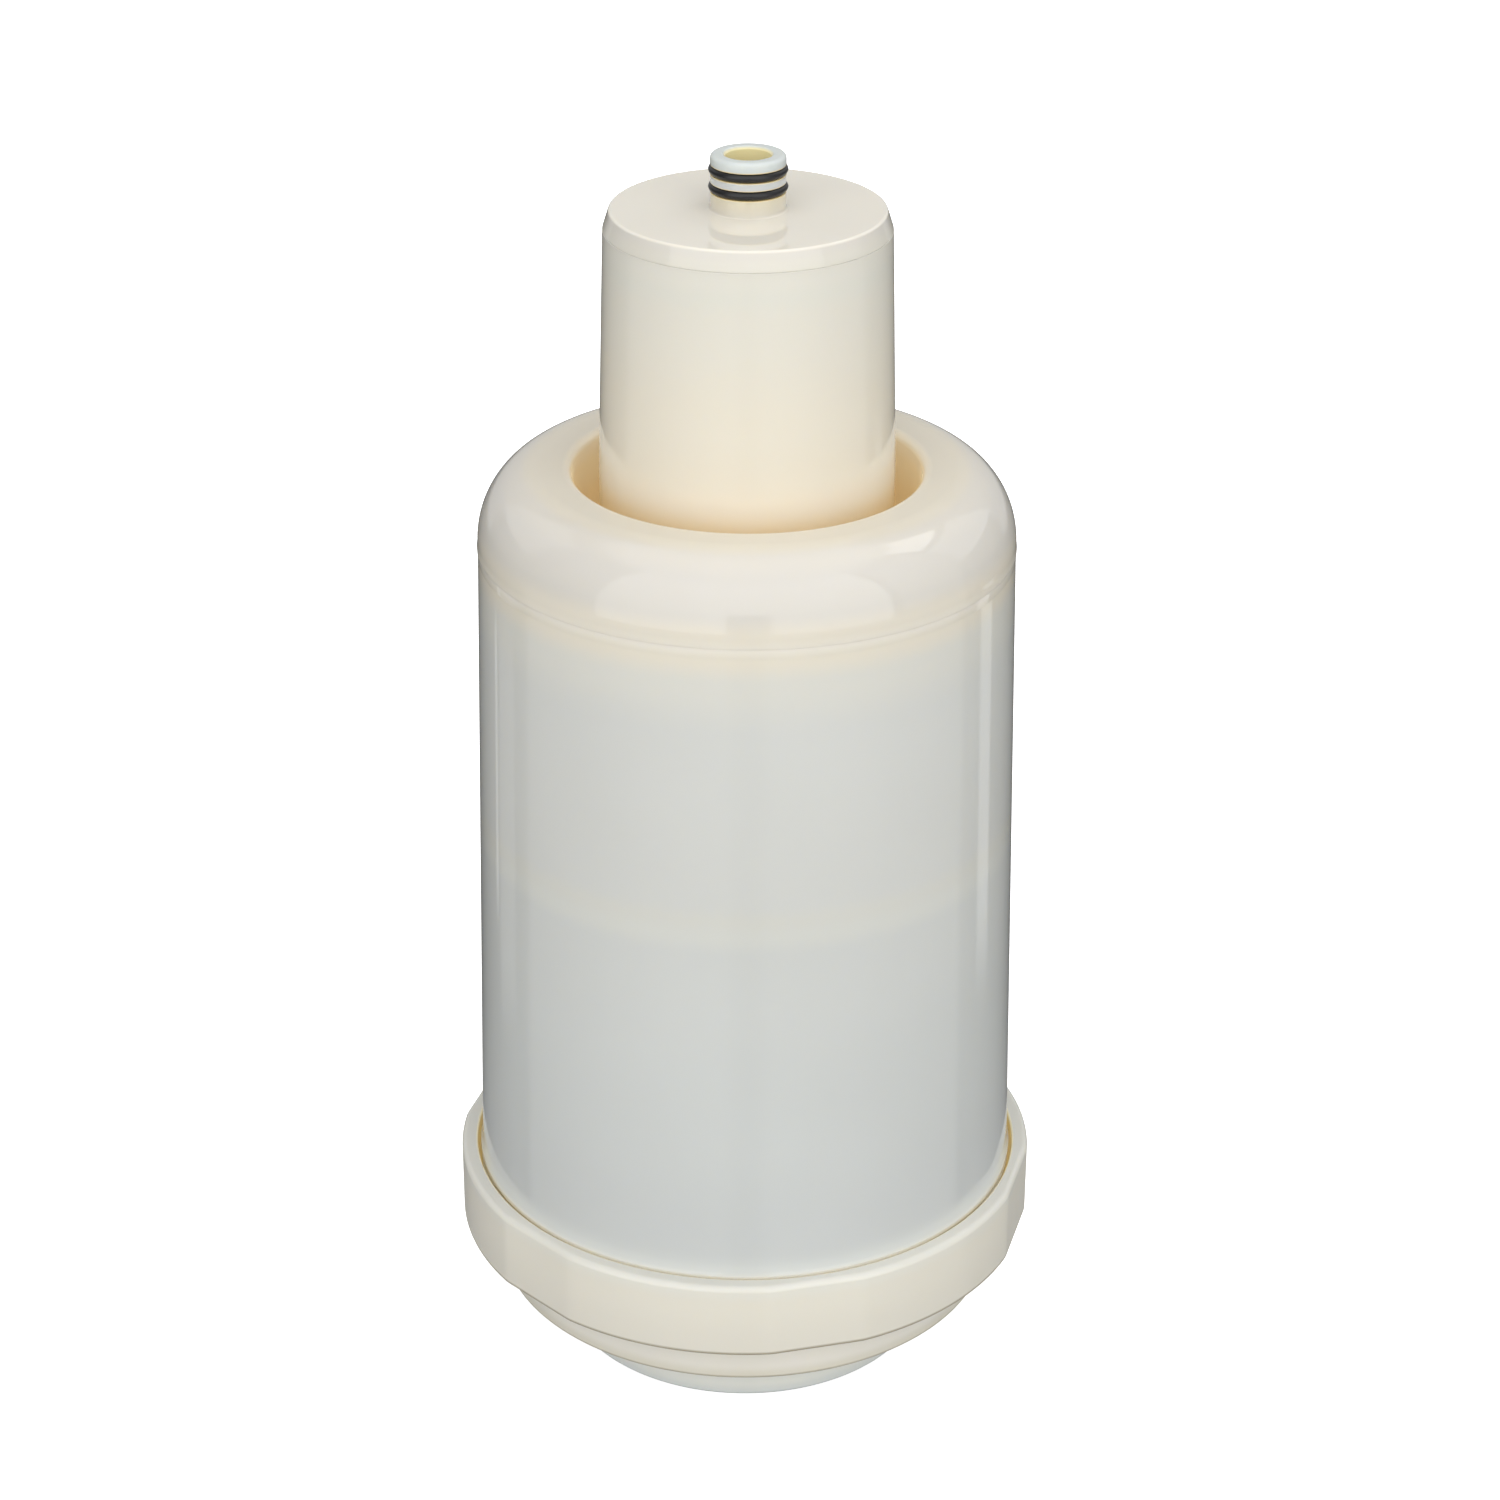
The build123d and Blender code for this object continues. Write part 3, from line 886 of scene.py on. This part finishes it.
@dataclass
class Neck:
    """Sleeve that holds the fibre bundle and stands in the shoulder's well."""

    wall: float = 2.4
    taper: float = 1.24
    foot_step: float = 1.8
    foot_wall: float = 2.4
    seam_round: float = 0.12
    foot_round: float = 0.3

    def build(self) -> Piece:
        """Turns the sleeve.

        Returns:
            The piece.
        """
        sleeve = Extent.of("neck_sleeve")
        crest = Extent.of("shoulder_cap").top
        seat = Extent.of("module_gasket").top
        top = sleeve.radius - self.taper
        foot = sleeve.radius - self.foot_step
        section = Section()
        section.to(foot, sleeve.bottom, 0.3)
        section.to(foot, seat)
        section.to(sleeve.radius, seat, self.foot_round)
        section.to(sleeve.radius, crest)
        section.to(top, sleeve.top, self.seam_round)
        section.to(top - self.wall, sleeve.top)
        section.to(sleeve.radius - self.wall, crest)
        section.to(sleeve.radius - self.wall, seat + self.foot_step)
        section.to(foot - self.foot_wall, seat)
        section.to(foot - self.foot_wall, sleeve.bottom, 0.3)
        return turned("neck_tube", section)

    def dress(self) -> None:
        """Builds the sleeve and dresses it."""
        sleeve = Extent.of("neck_sleeve")
        crest = Extent.of("shoulder_cap").top
        # Cream polypropylene over the fibres: greyer at the potting, and painted honey light down
        # in the well, where light comes through the shoulder's wall and bounces between the walls
        potting = Extent.of("potting_disc")
        finish = MouldedPlastic(
            "cream_polypropylene_polished",
            (
                # Painted light: honey down the sleeve's foot, in the well
                (sleeve.bottom, "efd49a"),
                (crest - 12, "f1d8a2"),
                (crest - 5, "eedbb8"),
                (crest + 1.5, "ece2cf"),
                (crest + 6.5, "eee6d4"),
                (crest + 16, "efe8d7"),
                (potting.bottom, "ebe7da"),
                (potting.bottom + 4, "e9e7db"),
                (potting.top, "ebe8dc"),
                (sleeve.top, "ebe7da"),
            ),
            Polish.GLOSS,
            scatter_depth=2.5,
        ).build()
        dress(self.build(), finish, "cartridge", "natural_polypropylene", "neck_sleeve")


@dataclass
class Shoulder:
    """Domed cap welded on the body, with the annular well that the neck stands in."""

    rise: float = 14.0
    spring_above_weld: float = 1.05
    ridge: float = 0.12
    wall: float = 2.5
    skirt_drop: float = 5.4
    body_wall: float = 2.5
    crest_width: float = 4.0
    crest_round: float = 1.6
    well: float = 32.37
    well_taper: float = 0.4
    floor_round: float = 1.2
    hub_bore: float = 25.62
    dome_steps: int = 40

    def build(self) -> Piece:
        """Turns the cap.

        Returns:
            The piece.
        """
        cap = Extent.of("shoulder_cap")
        weld = Extent.of("body_shell").top
        spring = weld + self.spring_above_weld
        floor = Extent.of("module_gasket").bottom
        crest_inner = self.well + self.crest_round
        crest_outer = crest_inner + self.crest_width
        body = cap.radius - self.ridge
        skirt = body - self.body_wall
        well_floor = self.well - self.well_taper
        reach = body - crest_outer
        section = Section(round_steps=8)
        section.to(skirt, weld)
        section.to(cap.radius, weld)
        section.ellipse((crest_outer, spring), reach, self.rise, 0, 90, self.dome_steps)
        section.to(self.well, cap.top, self.crest_round)
        section.to(well_floor, floor, self.floor_round)
        section.to(self.hub_bore, floor, 0.2)
        section.to(self.hub_bore, cap.bottom)
        section.to(well_floor + self.wall, cap.bottom)
        section.to(self.well + self.wall, cap.top - self.wall)
        inside = self.rise - self.wall
        centre = (crest_outer, spring)
        section.ellipse(centre, reach - self.wall, inside, 90, 0, self.dome_steps // 2)
        section.to(skirt - self.wall, weld)
        section.to(skirt - self.wall, weld - self.skirt_drop)
        section.to(skirt, weld - self.skirt_drop)
        return turned("shoulder_dome", section)

    def dress(self) -> None:
        """Builds the shoulder and dresses it."""
        cap = Extent.of("shoulder_cap")
        # Ivory polypropylene: pale over the dome, and painted amber light with a painted glow down
        # the well, where light comes through the wall
        finish = MouldedPlastic(
            "ivory_polypropylene_dome",
            (
                (cap.bottom, "f5eddb"),
                (cap.bottom + 6, "f2ead8"),
                (cap.bottom + 9, "e9e2d2"),
                (cap.bottom + 13, "dcd8cf"),
                (cap.top - 4, "dbd7cf"),
                (cap.top - 1, "dfdad0"),
                (cap.top, "e4ddcd"),
            ),
            Polish.MIRROR,
            # Painted light: amber down the well wall, with the painted glow below
            blend_stops=(
                (cap.bottom, "e9d09e"),
                (cap.top - 12, "ebd7aa"),
                (cap.top - 5, "ecddb8"),
                (cap.top - 1.2, "ebe0c6"),
                (cap.top, "e8dfcb"),
            ),
            blend_radii=(self.well - 0.1, self.well + self.crest_round + 0.4),
            painted_glow=0.17,
            scatter_depth=3.0,
        ).build()
        dress(self.build(), finish, "cartridge", "ivory_polypropylene", "shoulder_cap")


# ---- Body --------------------------------------------------------------------


@dataclass
class Body:
    """Drafted shell over the two media stages, threaded at its foot."""

    draft: float = 1.2
    wall: float = 2.4
    weld_band: float = 2.05
    ridge: float = 0.12
    seam_depth: float = 0.02
    seam_width: float = 0.1
    flare: float = 3.0
    flare_steps: int = 6
    flange_band: float = 0.9
    thread_root: float = 51.9
    thread_depth: float = 1.0
    thread_lead: float = 1.2
    snap_groove: float = 0.8
    foot_round: float = 0.3
    ridge_form: ThreadRidge = ThreadRidge()

    def build(self) -> Piece:
        """Turns the shell and raises its thread.

        Returns:
            The piece.
        """
        shell = Extent.of("body_shell")
        band = shell.top - self.weld_band
        foot_top = Extent.of("collar").top
        fall = math.tan(math.radians(self.draft))
        top_radius = Extent.of("shoulder_cap").radius - self.ridge
        flare_top = foot_top + self.flare
        flare_radius = top_radius + (band - flare_top) * fall
        bore = top_radius + (band - foot_top) * fall - self.wall
        groove = Extent.of("snap_ring")
        plate = Extent.of("bottom_plate").bottom
        section = Section()
        section.to(bore, shell.bottom, 0.2)
        section.to(self.thread_root, shell.bottom, self.foot_round)
        section.to(self.thread_root, foot_top - self.flange_band)
        section.to(shell.radius, foot_top - self.flange_band, 0.15)
        section.to(shell.radius, foot_top, 0.15)
        spread = shell.radius - flare_radius
        for step in range(1, self.flare_steps + 1):
            share = step / self.flare_steps
            radius = shell.radius - spread * (1 - (1 - share) ** 2)
            section.to(radius, foot_top + self.flare * share)
        section.to(top_radius + self.seam_width * fall, band - self.seam_width)
        section.to(top_radius - self.seam_depth, band)
        section.to(top_radius, band + self.seam_width)
        section.to(top_radius + self.ridge, shell.top)
        section.to(top_radius - self.wall - self.weld_band * fall, shell.top)
        section.to(bore, foot_top)
        section.to(bore, plate)
        section.to(bore + self.snap_groove, plate)
        section.to(bore + self.snap_groove, groove.bottom)
        section.to(bore, groove.bottom)
        shape = turned("filter_body", section)
        ridge = self.ridge_form.build(
            "body_thread", self.thread_root, self.thread_depth, shell.bottom + self.thread_lead
        )
        join_solid(shape, ridge)
        smooth(shape)
        return shape

    def dress(self) -> None:
        """Builds the shell and dresses it."""
        shell = Extent.of("body_shell")
        separator = Extent.of("separator_plate")
        skirt = Extent.of("top_plate")
        foot_top = Extent.of("collar").top
        # Natural polypropylene: the media behind the wall grey it, in two stages
        finish = MouldedPlastic(
            "natural_polypropylene_polished",
            (
                (shell.bottom, "ebebe6"),
                (foot_top - 0.4, "efefea"),
                (foot_top + 0.6, "d4d7d4"),
                (foot_top + 5, "ced1cf"),
                (separator.bottom - 40, "d2d5d2"),
                (separator.bottom - 3, "d5d7d3"),
                (separator.top - 0.5, "dadbd4"),
                (separator.top + 2.5, "dadad2"),
                (separator.top + 6, "d8d9d4"),
                (skirt.bottom - 8, "dadbd6"),
                (skirt.top, "e1e0d7"),
                (skirt.top + 5, "ebe4d3"),
                (shell.top, "faf3e3"),
            ),
            Polish.GLOSS,
            scatter_depth=3.0,
        ).build()
        dress(self.build(), finish, "cartridge", "natural_polypropylene", "body_shell")


# ---- Collar ------------------------------------------------------------------


@dataclass
class Collar:
    """Union nut with six wrench flats that draws the base up to the body."""

    lip_bore: float = 49.6
    lip: float = 3.0
    bore: float = 53.7
    top_round: float = 1.2
    bottom_round: float = 0.4
    edge_round: float = 0.35
    flats: int = 6
    flat_depth: float = 0.7
    flat_facing: float = -75.5
    thread_depth: float = -1.4
    thread_start: float = 30.75
    sharp_above: float = 6.0
    segments: int = 360
    ridge_form: ThreadRidge = ThreadRidge()

    def build(self) -> Piece:
        """Turns the collar, presses its flats and raises its thread.

        Returns:
            The piece.
        """
        collar = Extent.of("collar")
        inside = Section(round_steps=16)
        inside.to(self.lip_bore, collar.bottom)
        inside.to(self.lip_bore, collar.bottom + self.lip, 0.3)
        inside.to(self.bore, collar.bottom + self.lip)
        inside.to(self.bore, collar.top, self.edge_round)
        inside.to(collar.radius - self.top_round, collar.top)
        outside = Section(round_steps=24)
        outside.to(collar.radius - self.top_round, collar.top)
        outside.to(collar.radius, collar.top, self.top_round)
        outside.to(collar.radius, collar.bottom, self.bottom_round)
        outside.to(collar.radius - self.bottom_round, collar.bottom)
        inner = inside.points()
        lathe = Lathe("union_collar", *inner[0], self.segments).draw(inner[1:])
        lathe.press_flats(self.flats, self.flat_depth, self.flat_facing)
        shape = lathe.draw(outside.points()[1:-1]).close()
        ridge = self.ridge_form.build(
            "collar_thread", self.bore, self.thread_depth, self.thread_start
        )
        join_solid(shape, ridge)
        smooth(shape, math.radians(self.sharp_above))
        return shape

    def dress(self) -> None:
        """Builds the collar and dresses it."""
        collar = Extent.of("collar")
        # Ivory polypropylene off a plainer mould wall: a softer gloss, painted amber light with a
        # painted glow in the gap, and a painted shade line along the bottom edge
        finish = MouldedPlastic(
            "ivory_polypropylene_satin",
            (
                # Painted shade: a dark line along the bottom edge, over the step below
                (collar.bottom, "6e6554"),
                (collar.bottom + 0.35, "a8a08c"),
                (collar.bottom + 0.9, "e1ddd0"),
                (collar.top - 4, "e7e3d5"),
                (collar.top - 1.1, "e6e4d9"),
                (collar.top, "dcdbd3"),
            ),
            Polish.SATIN,
            # Painted light: amber in the gap between the collar and the body
            blend_stops=(
                (collar.bottom, "e2c886"),
                (collar.top - 1.5, "e8d296"),
                (collar.top, "ece2c2"),
            ),
            blend_radii=(self.bore + 0.02, self.bore + 0.45),
            painted_glow=0.16,
            scatter_depth=2.5,
        ).build()
        dress(self.build(), finish, "collar_nut", "ivory_polypropylene", "collar")


# ---- Base --------------------------------------------------------------------


@dataclass
class Base:
    """Stepped base cover and the inlet cap that the cartridge stands on."""

    step: float = 49.2
    step_round: float = 0.5
    wall: float = 2.4
    floor: float = 2.6
    flange: float = 2.6
    flange_level: float = 27.1
    register: float = 49.84
    foot_round: float = 1.0
    foot_bore: float = 34.0
    seat_gap: float = 0.1
    inlet: float = 5.0
    boss_wall: float = 2.6
    boss_height: float = 10.0
    ribs: int = 6
    rib: float = 1.6
    rib_sunk: float = 0.8
    rib_draft: float = 0.8
    ring_recess: float = 0.4
    ring_recess_inner: float = 9.5
    ring_recess_outer: float = 30.0

    def build_cover(self) -> Piece:
        """Turns the stepped cover.

        Returns:
            The piece.
        """
        cover = Extent.of("base_cover")
        foot = Extent.of("inlet_cap")
        gasket = self.flange_level + self.flange
        section = Section()
        section.to(self.foot_bore, cover.bottom, 0.3)
        section.to(self.step, cover.bottom, self.step_round)
        section.to(self.step, self.flange_level, 0.3)
        section.to(cover.radius, self.flange_level, 0.2)
        section.to(cover.radius, gasket, 0.2)
        section.to(self.register, gasket)
        section.to(self.register, cover.top, 0.3)
        section.to(self.register - self.wall, cover.top, 0.3)
        section.to(self.register - self.wall, gasket, 0.3)
        section.to(self.step - self.wall, self.flange_level)
        section.to(self.step - self.wall, foot.top, 0.5)
        section.to(self.foot_bore, foot.top)
        return turned("stepped_base", section)

    def build_foot(self) -> Piece:
        """Turns the inlet cap, with its ribs and the ring recess under it.

        Returns:
            The piece.
        """
        foot = Extent.of("inlet_cap")
        cover = Extent.of("base_cover")
        inner = self.foot_bore - self.wall
        boss = self.inlet + self.boss_wall
        section = Section()
        section.to(self.inlet, foot.bottom, 0.5)
        section.to(self.ring_recess_inner, foot.bottom, 0.2)
        section.to(self.ring_recess_inner + self.ring_recess, foot.bottom + self.ring_recess, 0.2)
        section.to(self.ring_recess_outer - self.ring_recess, foot.bottom + self.ring_recess, 0.2)
        section.to(self.ring_recess_outer, foot.bottom, 0.2)
        section.to(foot.radius, foot.bottom, self.foot_round)
        section.to(foot.radius, cover.bottom, 0.25)
        section.to(self.foot_bore - self.seat_gap, cover.bottom)
        section.to(self.foot_bore - self.seat_gap, foot.top)
        section.to(inner, foot.top)
        section.to(inner, self.floor, 0.6)
        section.to(boss, self.floor, 0.6)
        section.to(boss, self.boss_height, 0.4)
        section.to(self.inlet, self.boss_height, 0.3)
        shape = turned("inlet_foot", section)
        for rib in range(self.ribs):
            join_solid(shape, self.build_rib(math.tau * rib / self.ribs, boss, inner))
        smooth(shape)
        return shape

    def build_rib(self, turn: float, inner: float, outer: float) -> Piece:
        """Makes one rib between the boss and the wall, thinner at its free edge.

        Args:
            turn: its angle from +X in radians.
            inner: radius of the boss.
            outer: radius of the wall's inside.

        Returns:
            The rib as a closed solid.
        """
        sunk = self.rib_sunk
        low, high = self.floor - sunk, self.boss_height
        middle = (inner + outer) / 2
        bpy.ops.object.select_all(action="DESELECT")
        bpy.ops.mesh.primitive_plane_add(size=MM, location=(middle * MM, 0, low * MM))
        rib = bpy.context.object
        bpy.ops.object.transform_apply(location=True)
        bpy.ops.object.mode_set(mode="EDIT")
        bpy.ops.mesh.select_all(action="SELECT")
        bpy.ops.transform.resize(
            value=(outer - inner + 2 * sunk, self.rib, 1),
            center_override=(middle * MM, 0, low * MM),
        )
        bpy.ops.mesh.extrude_region_move(
            TRANSFORM_OT_translate={"value": (0, 0, (high - low) * MM)}
        )
        bpy.ops.transform.resize(
            value=(1, self.rib_draft, 1), center_override=(middle * MM, 0, high * MM)
        )
        bpy.ops.mesh.select_all(action="SELECT")
        bpy.ops.transform.rotate(value=-turn, orient_axis="Z", center_override=(0, 0, 0))
        bpy.ops.mesh.normals_make_consistent(inside=False)
        bpy.ops.object.mode_set(mode="OBJECT")
        return rib

    def dress(self) -> None:
        """Builds the base's pieces and dresses them."""
        cover = Extent.of("base_cover")
        foot = Extent.of("inlet_cap")
        # Ivory polypropylene, satin: the collar's ivory painted paler for the light from below,
        # with a painted shade line along its bottom edge
        ivory = MouldedPlastic(
            "ivory_polypropylene_base",
            (
                # Painted shade: a dark line along the step's bottom edge, over the foot
                (cover.bottom, "7c7360"),
                (cover.bottom + 0.3, "b4ac98"),
                (cover.bottom + 0.8, "dfdbcc"),
                (cover.bottom + 3.0, "edeae0"),
                (self.flange_level, "f1eee6"),
            ),
            Polish.SATIN,
        ).build()
        # Natural polypropylene, unfilled and thin: milky with a cool cast, painted paler for the
        # light from below, with a painted shade line along its bottom edge
        natural = MouldedPlastic(
            "natural_polypropylene_foot",
            (
                # Painted shade: a dark line along the foot's bottom edge, where it stands on the
                # floor
                (foot.bottom, "7e8688"),
                (foot.bottom + 0.6, "d8dcd8"),
                (foot.bottom + 3.0, "e9eae2"),
                (foot.top - 6.0, "efeee3"),
                (foot.top, "efeee4"),
            ),
            Polish.GLOSS,
            scatter_depth=3.5,
        ).build()
        dress(self.build_cover(), ivory, "base_assembly", "ivory_polypropylene", "base_cover")
        dress(self.build_foot(), natural, "base_assembly", "natural_polypropylene", "inlet_cap")


# ---- Pieces inside -----------------------------------------------------------


@dataclass
class Inside:
    """Seals, plates, felts and media that keep the frame's mesh and get a finish each."""

    finishes: tuple[tuple[GrainedFinish, tuple[str, ...]], ...] = (
        # Silicone rubber: translucent grey-white, matt, with a dusty bloom
        (
            GrainedFinish(
                "silicone_rubber_fine", "d8d4cb", "c9c4b8", 0.4, 0.008, 0.55, scatter=0.3, ior=1.42
            ),
            ("base_gasket", "module_gasket"),
        ),
        # White acetal: waxy and close-grained
        (
            GrainedFinish(
                "white_acetal_fine", "e9e8e3", "dddbd4", 1.5, 0.01, 0.38, scatter=0.15, ior=1.48
            ),
            (
                "snap_ring",
                "bottom_plate",
                "separator_plate",
                "top_plate",
                "fibre_screen",
                "inlet_screen",
            ),
        ),
        # Needled polyester felt: matt white fibres with a soft sheen
        (
            GrainedFinish("polyester_felt_fine", "eeeeea", "c9c9c2", 0.5, 0.15, 0.95, sheen=0.4),
            ("bottom_felt", "separator_felt", "top_felt"),
        ),
        # Granular carbon: charcoal grains of 1.2 mm with a dull sparkle
        (
            GrainedFinish("carbon_granules_fine", "2c2c2e", "0d0d0e", 1.2, 0.5, 0.6, cells=True),
            ("lower_media",),
        ),
        # Mineral granules: grey ceramic grains of 1.6 mm
        (
            GrainedFinish("mineral_granules_fine", "9a9b99", "50514f", 1.6, 0.6, 0.7, cells=True),
            ("upper_media",),
        ),
        # Hollow fibre membrane: fine white threads
        (
            GrainedFinish("hollow_fibre_fine", "f2f0ea", "d8d5cc", 0.35, 0.05, 0.6, sheen=0.2),
            ("hollow_fibres",),
        ),
        # Epoxy potting: pale grey-blue resin, cut flat and slightly smeared
        (
            GrainedFinish(
                "potting_resin_fine", "cdd5d8", "b4bec2", 2.5, 0.01, 0.22, scatter=0.2, ior=1.55
            ),
            ("potting_disc",),
        ),
    )

    def dress(self, nodes: dict[str, Piece]) -> None:
        """Gives every piece inside its finish.

        Args:
            nodes: the frame's CAD nodes by name.
        """
        for finish, names in self.finishes:
            material = finish.build()
            for name in names:
                mesh = nodes[name].data
                if not mesh.materials:
                    mesh.materials.append(material)
                for index in range(len(mesh.materials)):
                    mesh.materials[index] = material
                log.info("%s keeps its mesh, in %s", name, material.name)


# ---- Studio ------------------------------------------------------------------


@dataclass(frozen=True)
class Panel:
    """Soft light panel, or a dark flag, on the studio's walls, at angles in degrees."""

    name: str
    left: float
    right: float
    low: float
    high: float
    light: float
    edge: float = 2.0
    colour: str = "ffffff"

    def add(
        self,
        tree: Tree,
        turn: Socket,
        rise: Socket,
        behind: Socket,
    ) -> Socket:
        """Hangs the panel over what is behind it.

        Args:
            tree: the world's node tree.
            turn: the direction's angle from the front, to the right, in degrees.
            rise: its angle above the floor, in degrees.
            behind: the light of the room behind the panel.

        Returns:
            The light of the room with the panel.
        """
        across = self.share(tree, turn, self.left, self.right)
        up = self.share(tree, rise, self.low, self.high)
        cover = add_node(tree, "ShaderNodeMath", {0: across, 1: up}, operation="MULTIPLY")
        shade = tuple(channel * self.light for channel in linear(self.colour)[:3]) + (1.0,)
        return mix_colours(tree, cover.outputs[0], behind, shade, self.name)

    def share(self, tree: Tree, angle: Socket, first: float, last: float) -> Socket:
        """Gives 1 between two angles and 0 outside them, with the panel's soft edge."""
        middle, half = (first + last) / 2, (last - first) / 2
        away = add_node(tree, "ShaderNodeMath", {0: angle, 1: middle}, operation="SUBTRACT")
        away = add_node(tree, "ShaderNodeMath", {0: away.outputs[0]}, operation="ABSOLUTE")
        inputs = {
            "Value": away.outputs[0],
            "From Min": half - self.edge / 2,
            "From Max": half + self.edge / 2,
            "To Min": 1.0,
            "To Max": 0.0,
        }
        share = add_node(tree, "ShaderNodeMapRange", inputs, interpolation_type="SMOOTHSTEP")
        return share.outputs["Result"]


@dataclass
class Studio:
    """Pale floor, soft light panels, and the camera."""

    camera_place: tuple[float, float, float] = (0.73, -619.77, 425.50)
    camera_pitch: float = 25.952
    camera_roll: float = 0.233
    lens: float = 86.48
    sensor: float = 36.0
    floor_radius: float = 9.0
    floor_corners: int = 96
    floor_glow: float = 0.75
    room: tuple[tuple[float, float], ...] = (
        (-90, 0.05),
        (-10, 0.05),
        (0, 0.2),
        (50, 0.25),
        (62, 1.2),
        (90, 1.3),
    )
    panels: tuple[Panel, ...] = (
        Panel("table_bounce", -106, 104, -70, -12, 0.46, 6.0),
        Panel("back_wall_left", -190, -138, -8, 36, 0.5, 6.0),
        Panel("back_wall_right", 138, 190, -8, 36, 0.5, 6.0),
        Panel("back_bounce_left", -190, -112, -70, -32, 0.4, 8.0),
        Panel("back_bounce_right", 112, 190, -70, -32, 0.4, 8.0),
        Panel("left_window", -142, -106, 12, 46, 0.8, 1.5),
        Panel("right_wall", 66, 100, -8, 50, 0.6, 3.0),
        Panel("right_window_low", 102, 140, 12, 38, 1.0, 1.5),
        Panel("right_window", 104, 136, 42, 56, 2.4, 1.5),
        Panel("front_softbox", -64, 62, 14, 57, 1.6),
        Panel("left_softbox", -64, -8, -12, 15, 1.6),
        Panel("right_softbox", 10, 62, -12, 15, 1.6),
        Panel("camera_stand", -6, 8, -70, -12, 0.10),
        Panel("left_band", -131, -117, -29, -23, 0.35),
        Panel("left_strip", -135.5, -133, -27.5, -23, 0.7, 1.0),
        Panel("right_strip", 118, 128, -28, -20, 0.8),
    )

    def add_camera(self) -> None:
        """Adds the camera and makes it the scene's."""
        data = bpy.data.cameras.new("studio_camera")
        data.lens = self.lens
        data.sensor_width = self.sensor
        camera = bpy.data.objects.new("studio_camera", data)
        camera.location = Vector(self.camera_place) * MM
        turn = Euler((math.radians(90 - self.camera_pitch), 0, 0)).to_matrix()
        roll = Matrix.Rotation(math.radians(self.camera_roll), 3, "Z")
        camera.rotation_euler = (turn @ roll).to_euler()
        bpy.context.scene.collection.objects.link(camera)
        bpy.context.scene.camera = camera

    def add_floor(self) -> None:
        """Adds the pale floor, which only the camera sees: the room's lower half is its bounce."""
        bpy.ops.object.select_all(action="DESELECT")
        bpy.ops.mesh.primitive_circle_add(
            vertices=self.floor_corners, radius=self.floor_radius, fill_type="NGON"
        )
        floor = bpy.context.object
        floor.name = "studio_floor"
        material = bpy.data.materials.new("studio_white")
        material.use_nodes = True
        feed(
            material.node_tree.nodes["Principled BSDF"],
            {
                "Base Color": linear("f8f8f8"),
                "Roughness": 0.9,
                "Specular IOR Level": 0.1,
                "Emission Color": linear("ffffff"),
                "Emission Strength": self.floor_glow,
            },
        )
        floor.data.materials.append(material)
        floor.visible_glossy = False
        floor.visible_diffuse = False
        floor.visible_shadow = False

    def add_world(self) -> None:
        """Adds the room: bright above and in front, dark behind and low down, with its panels."""
        world = bpy.data.worlds.new("studio_room")
        world.use_nodes = True
        bpy.context.scene.world = world
        tree = world.node_tree
        tree.nodes.clear()
        place = add_node(tree, "ShaderNodeTexCoord").outputs["Generated"]
        parts = add_node(tree, "ShaderNodeSeparateXYZ", {0: place})
        across, back, up = (parts.outputs[axis] for axis in "XYZ")
        front = add_node(tree, "ShaderNodeMath", {0: back, 1: -1.0}, operation="MULTIPLY")
        aim = {0: across, 1: front.outputs[0]}
        turn = add_node(tree, "ShaderNodeMath", aim, operation="ARCTAN2")
        rise = add_node(tree, "ShaderNodeMath", {0: up}, operation="ARCSINE")
        turn, rise = (
            add_node(tree, "ShaderNodeMath", {0: angle.outputs[0]}, operation="DEGREES").outputs[0]
            for angle in (turn, rise)
        )
        greys = tuple((angle, (grey, grey, grey, 1.0)) for angle, grey in self.room)
        light = ramp(tree, rise, greys)
        for panel in self.panels:
            light = panel.add(tree, turn, rise, light)
        room = add_node(tree, "ShaderNodeBackground", {"Color": light})
        add_node(tree, "ShaderNodeOutputWorld", {"Surface": room.outputs[0]})

    def build(self) -> None:
        """Sets the studio up around the cartridge."""
        self.add_camera()
        self.add_floor()
        self.add_world()
        bpy.context.scene.view_settings.view_transform = "Standard"


# ---- The cartridge -----------------------------------------------------------


def corners(box: tuple[Vector, Vector]) -> list[list[float]]:
    """Turns a box to plain lists."""
    return [list(box[0]), list(box[1])]


def main() -> None:
    """Builds the cartridge's looks around its frame."""
    logging.basicConfig(level=logging.INFO, format="%(name)s: %(message)s")
    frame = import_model()
    Studio().build()
    Outlet().dress()
    Neck().dress()
    Shoulder().dress()
    Body().dress()
    Collar().dress()
    Base().dress()
    Inside().dress(frame["nodes"])


if __name__ == "__main__":
    main()
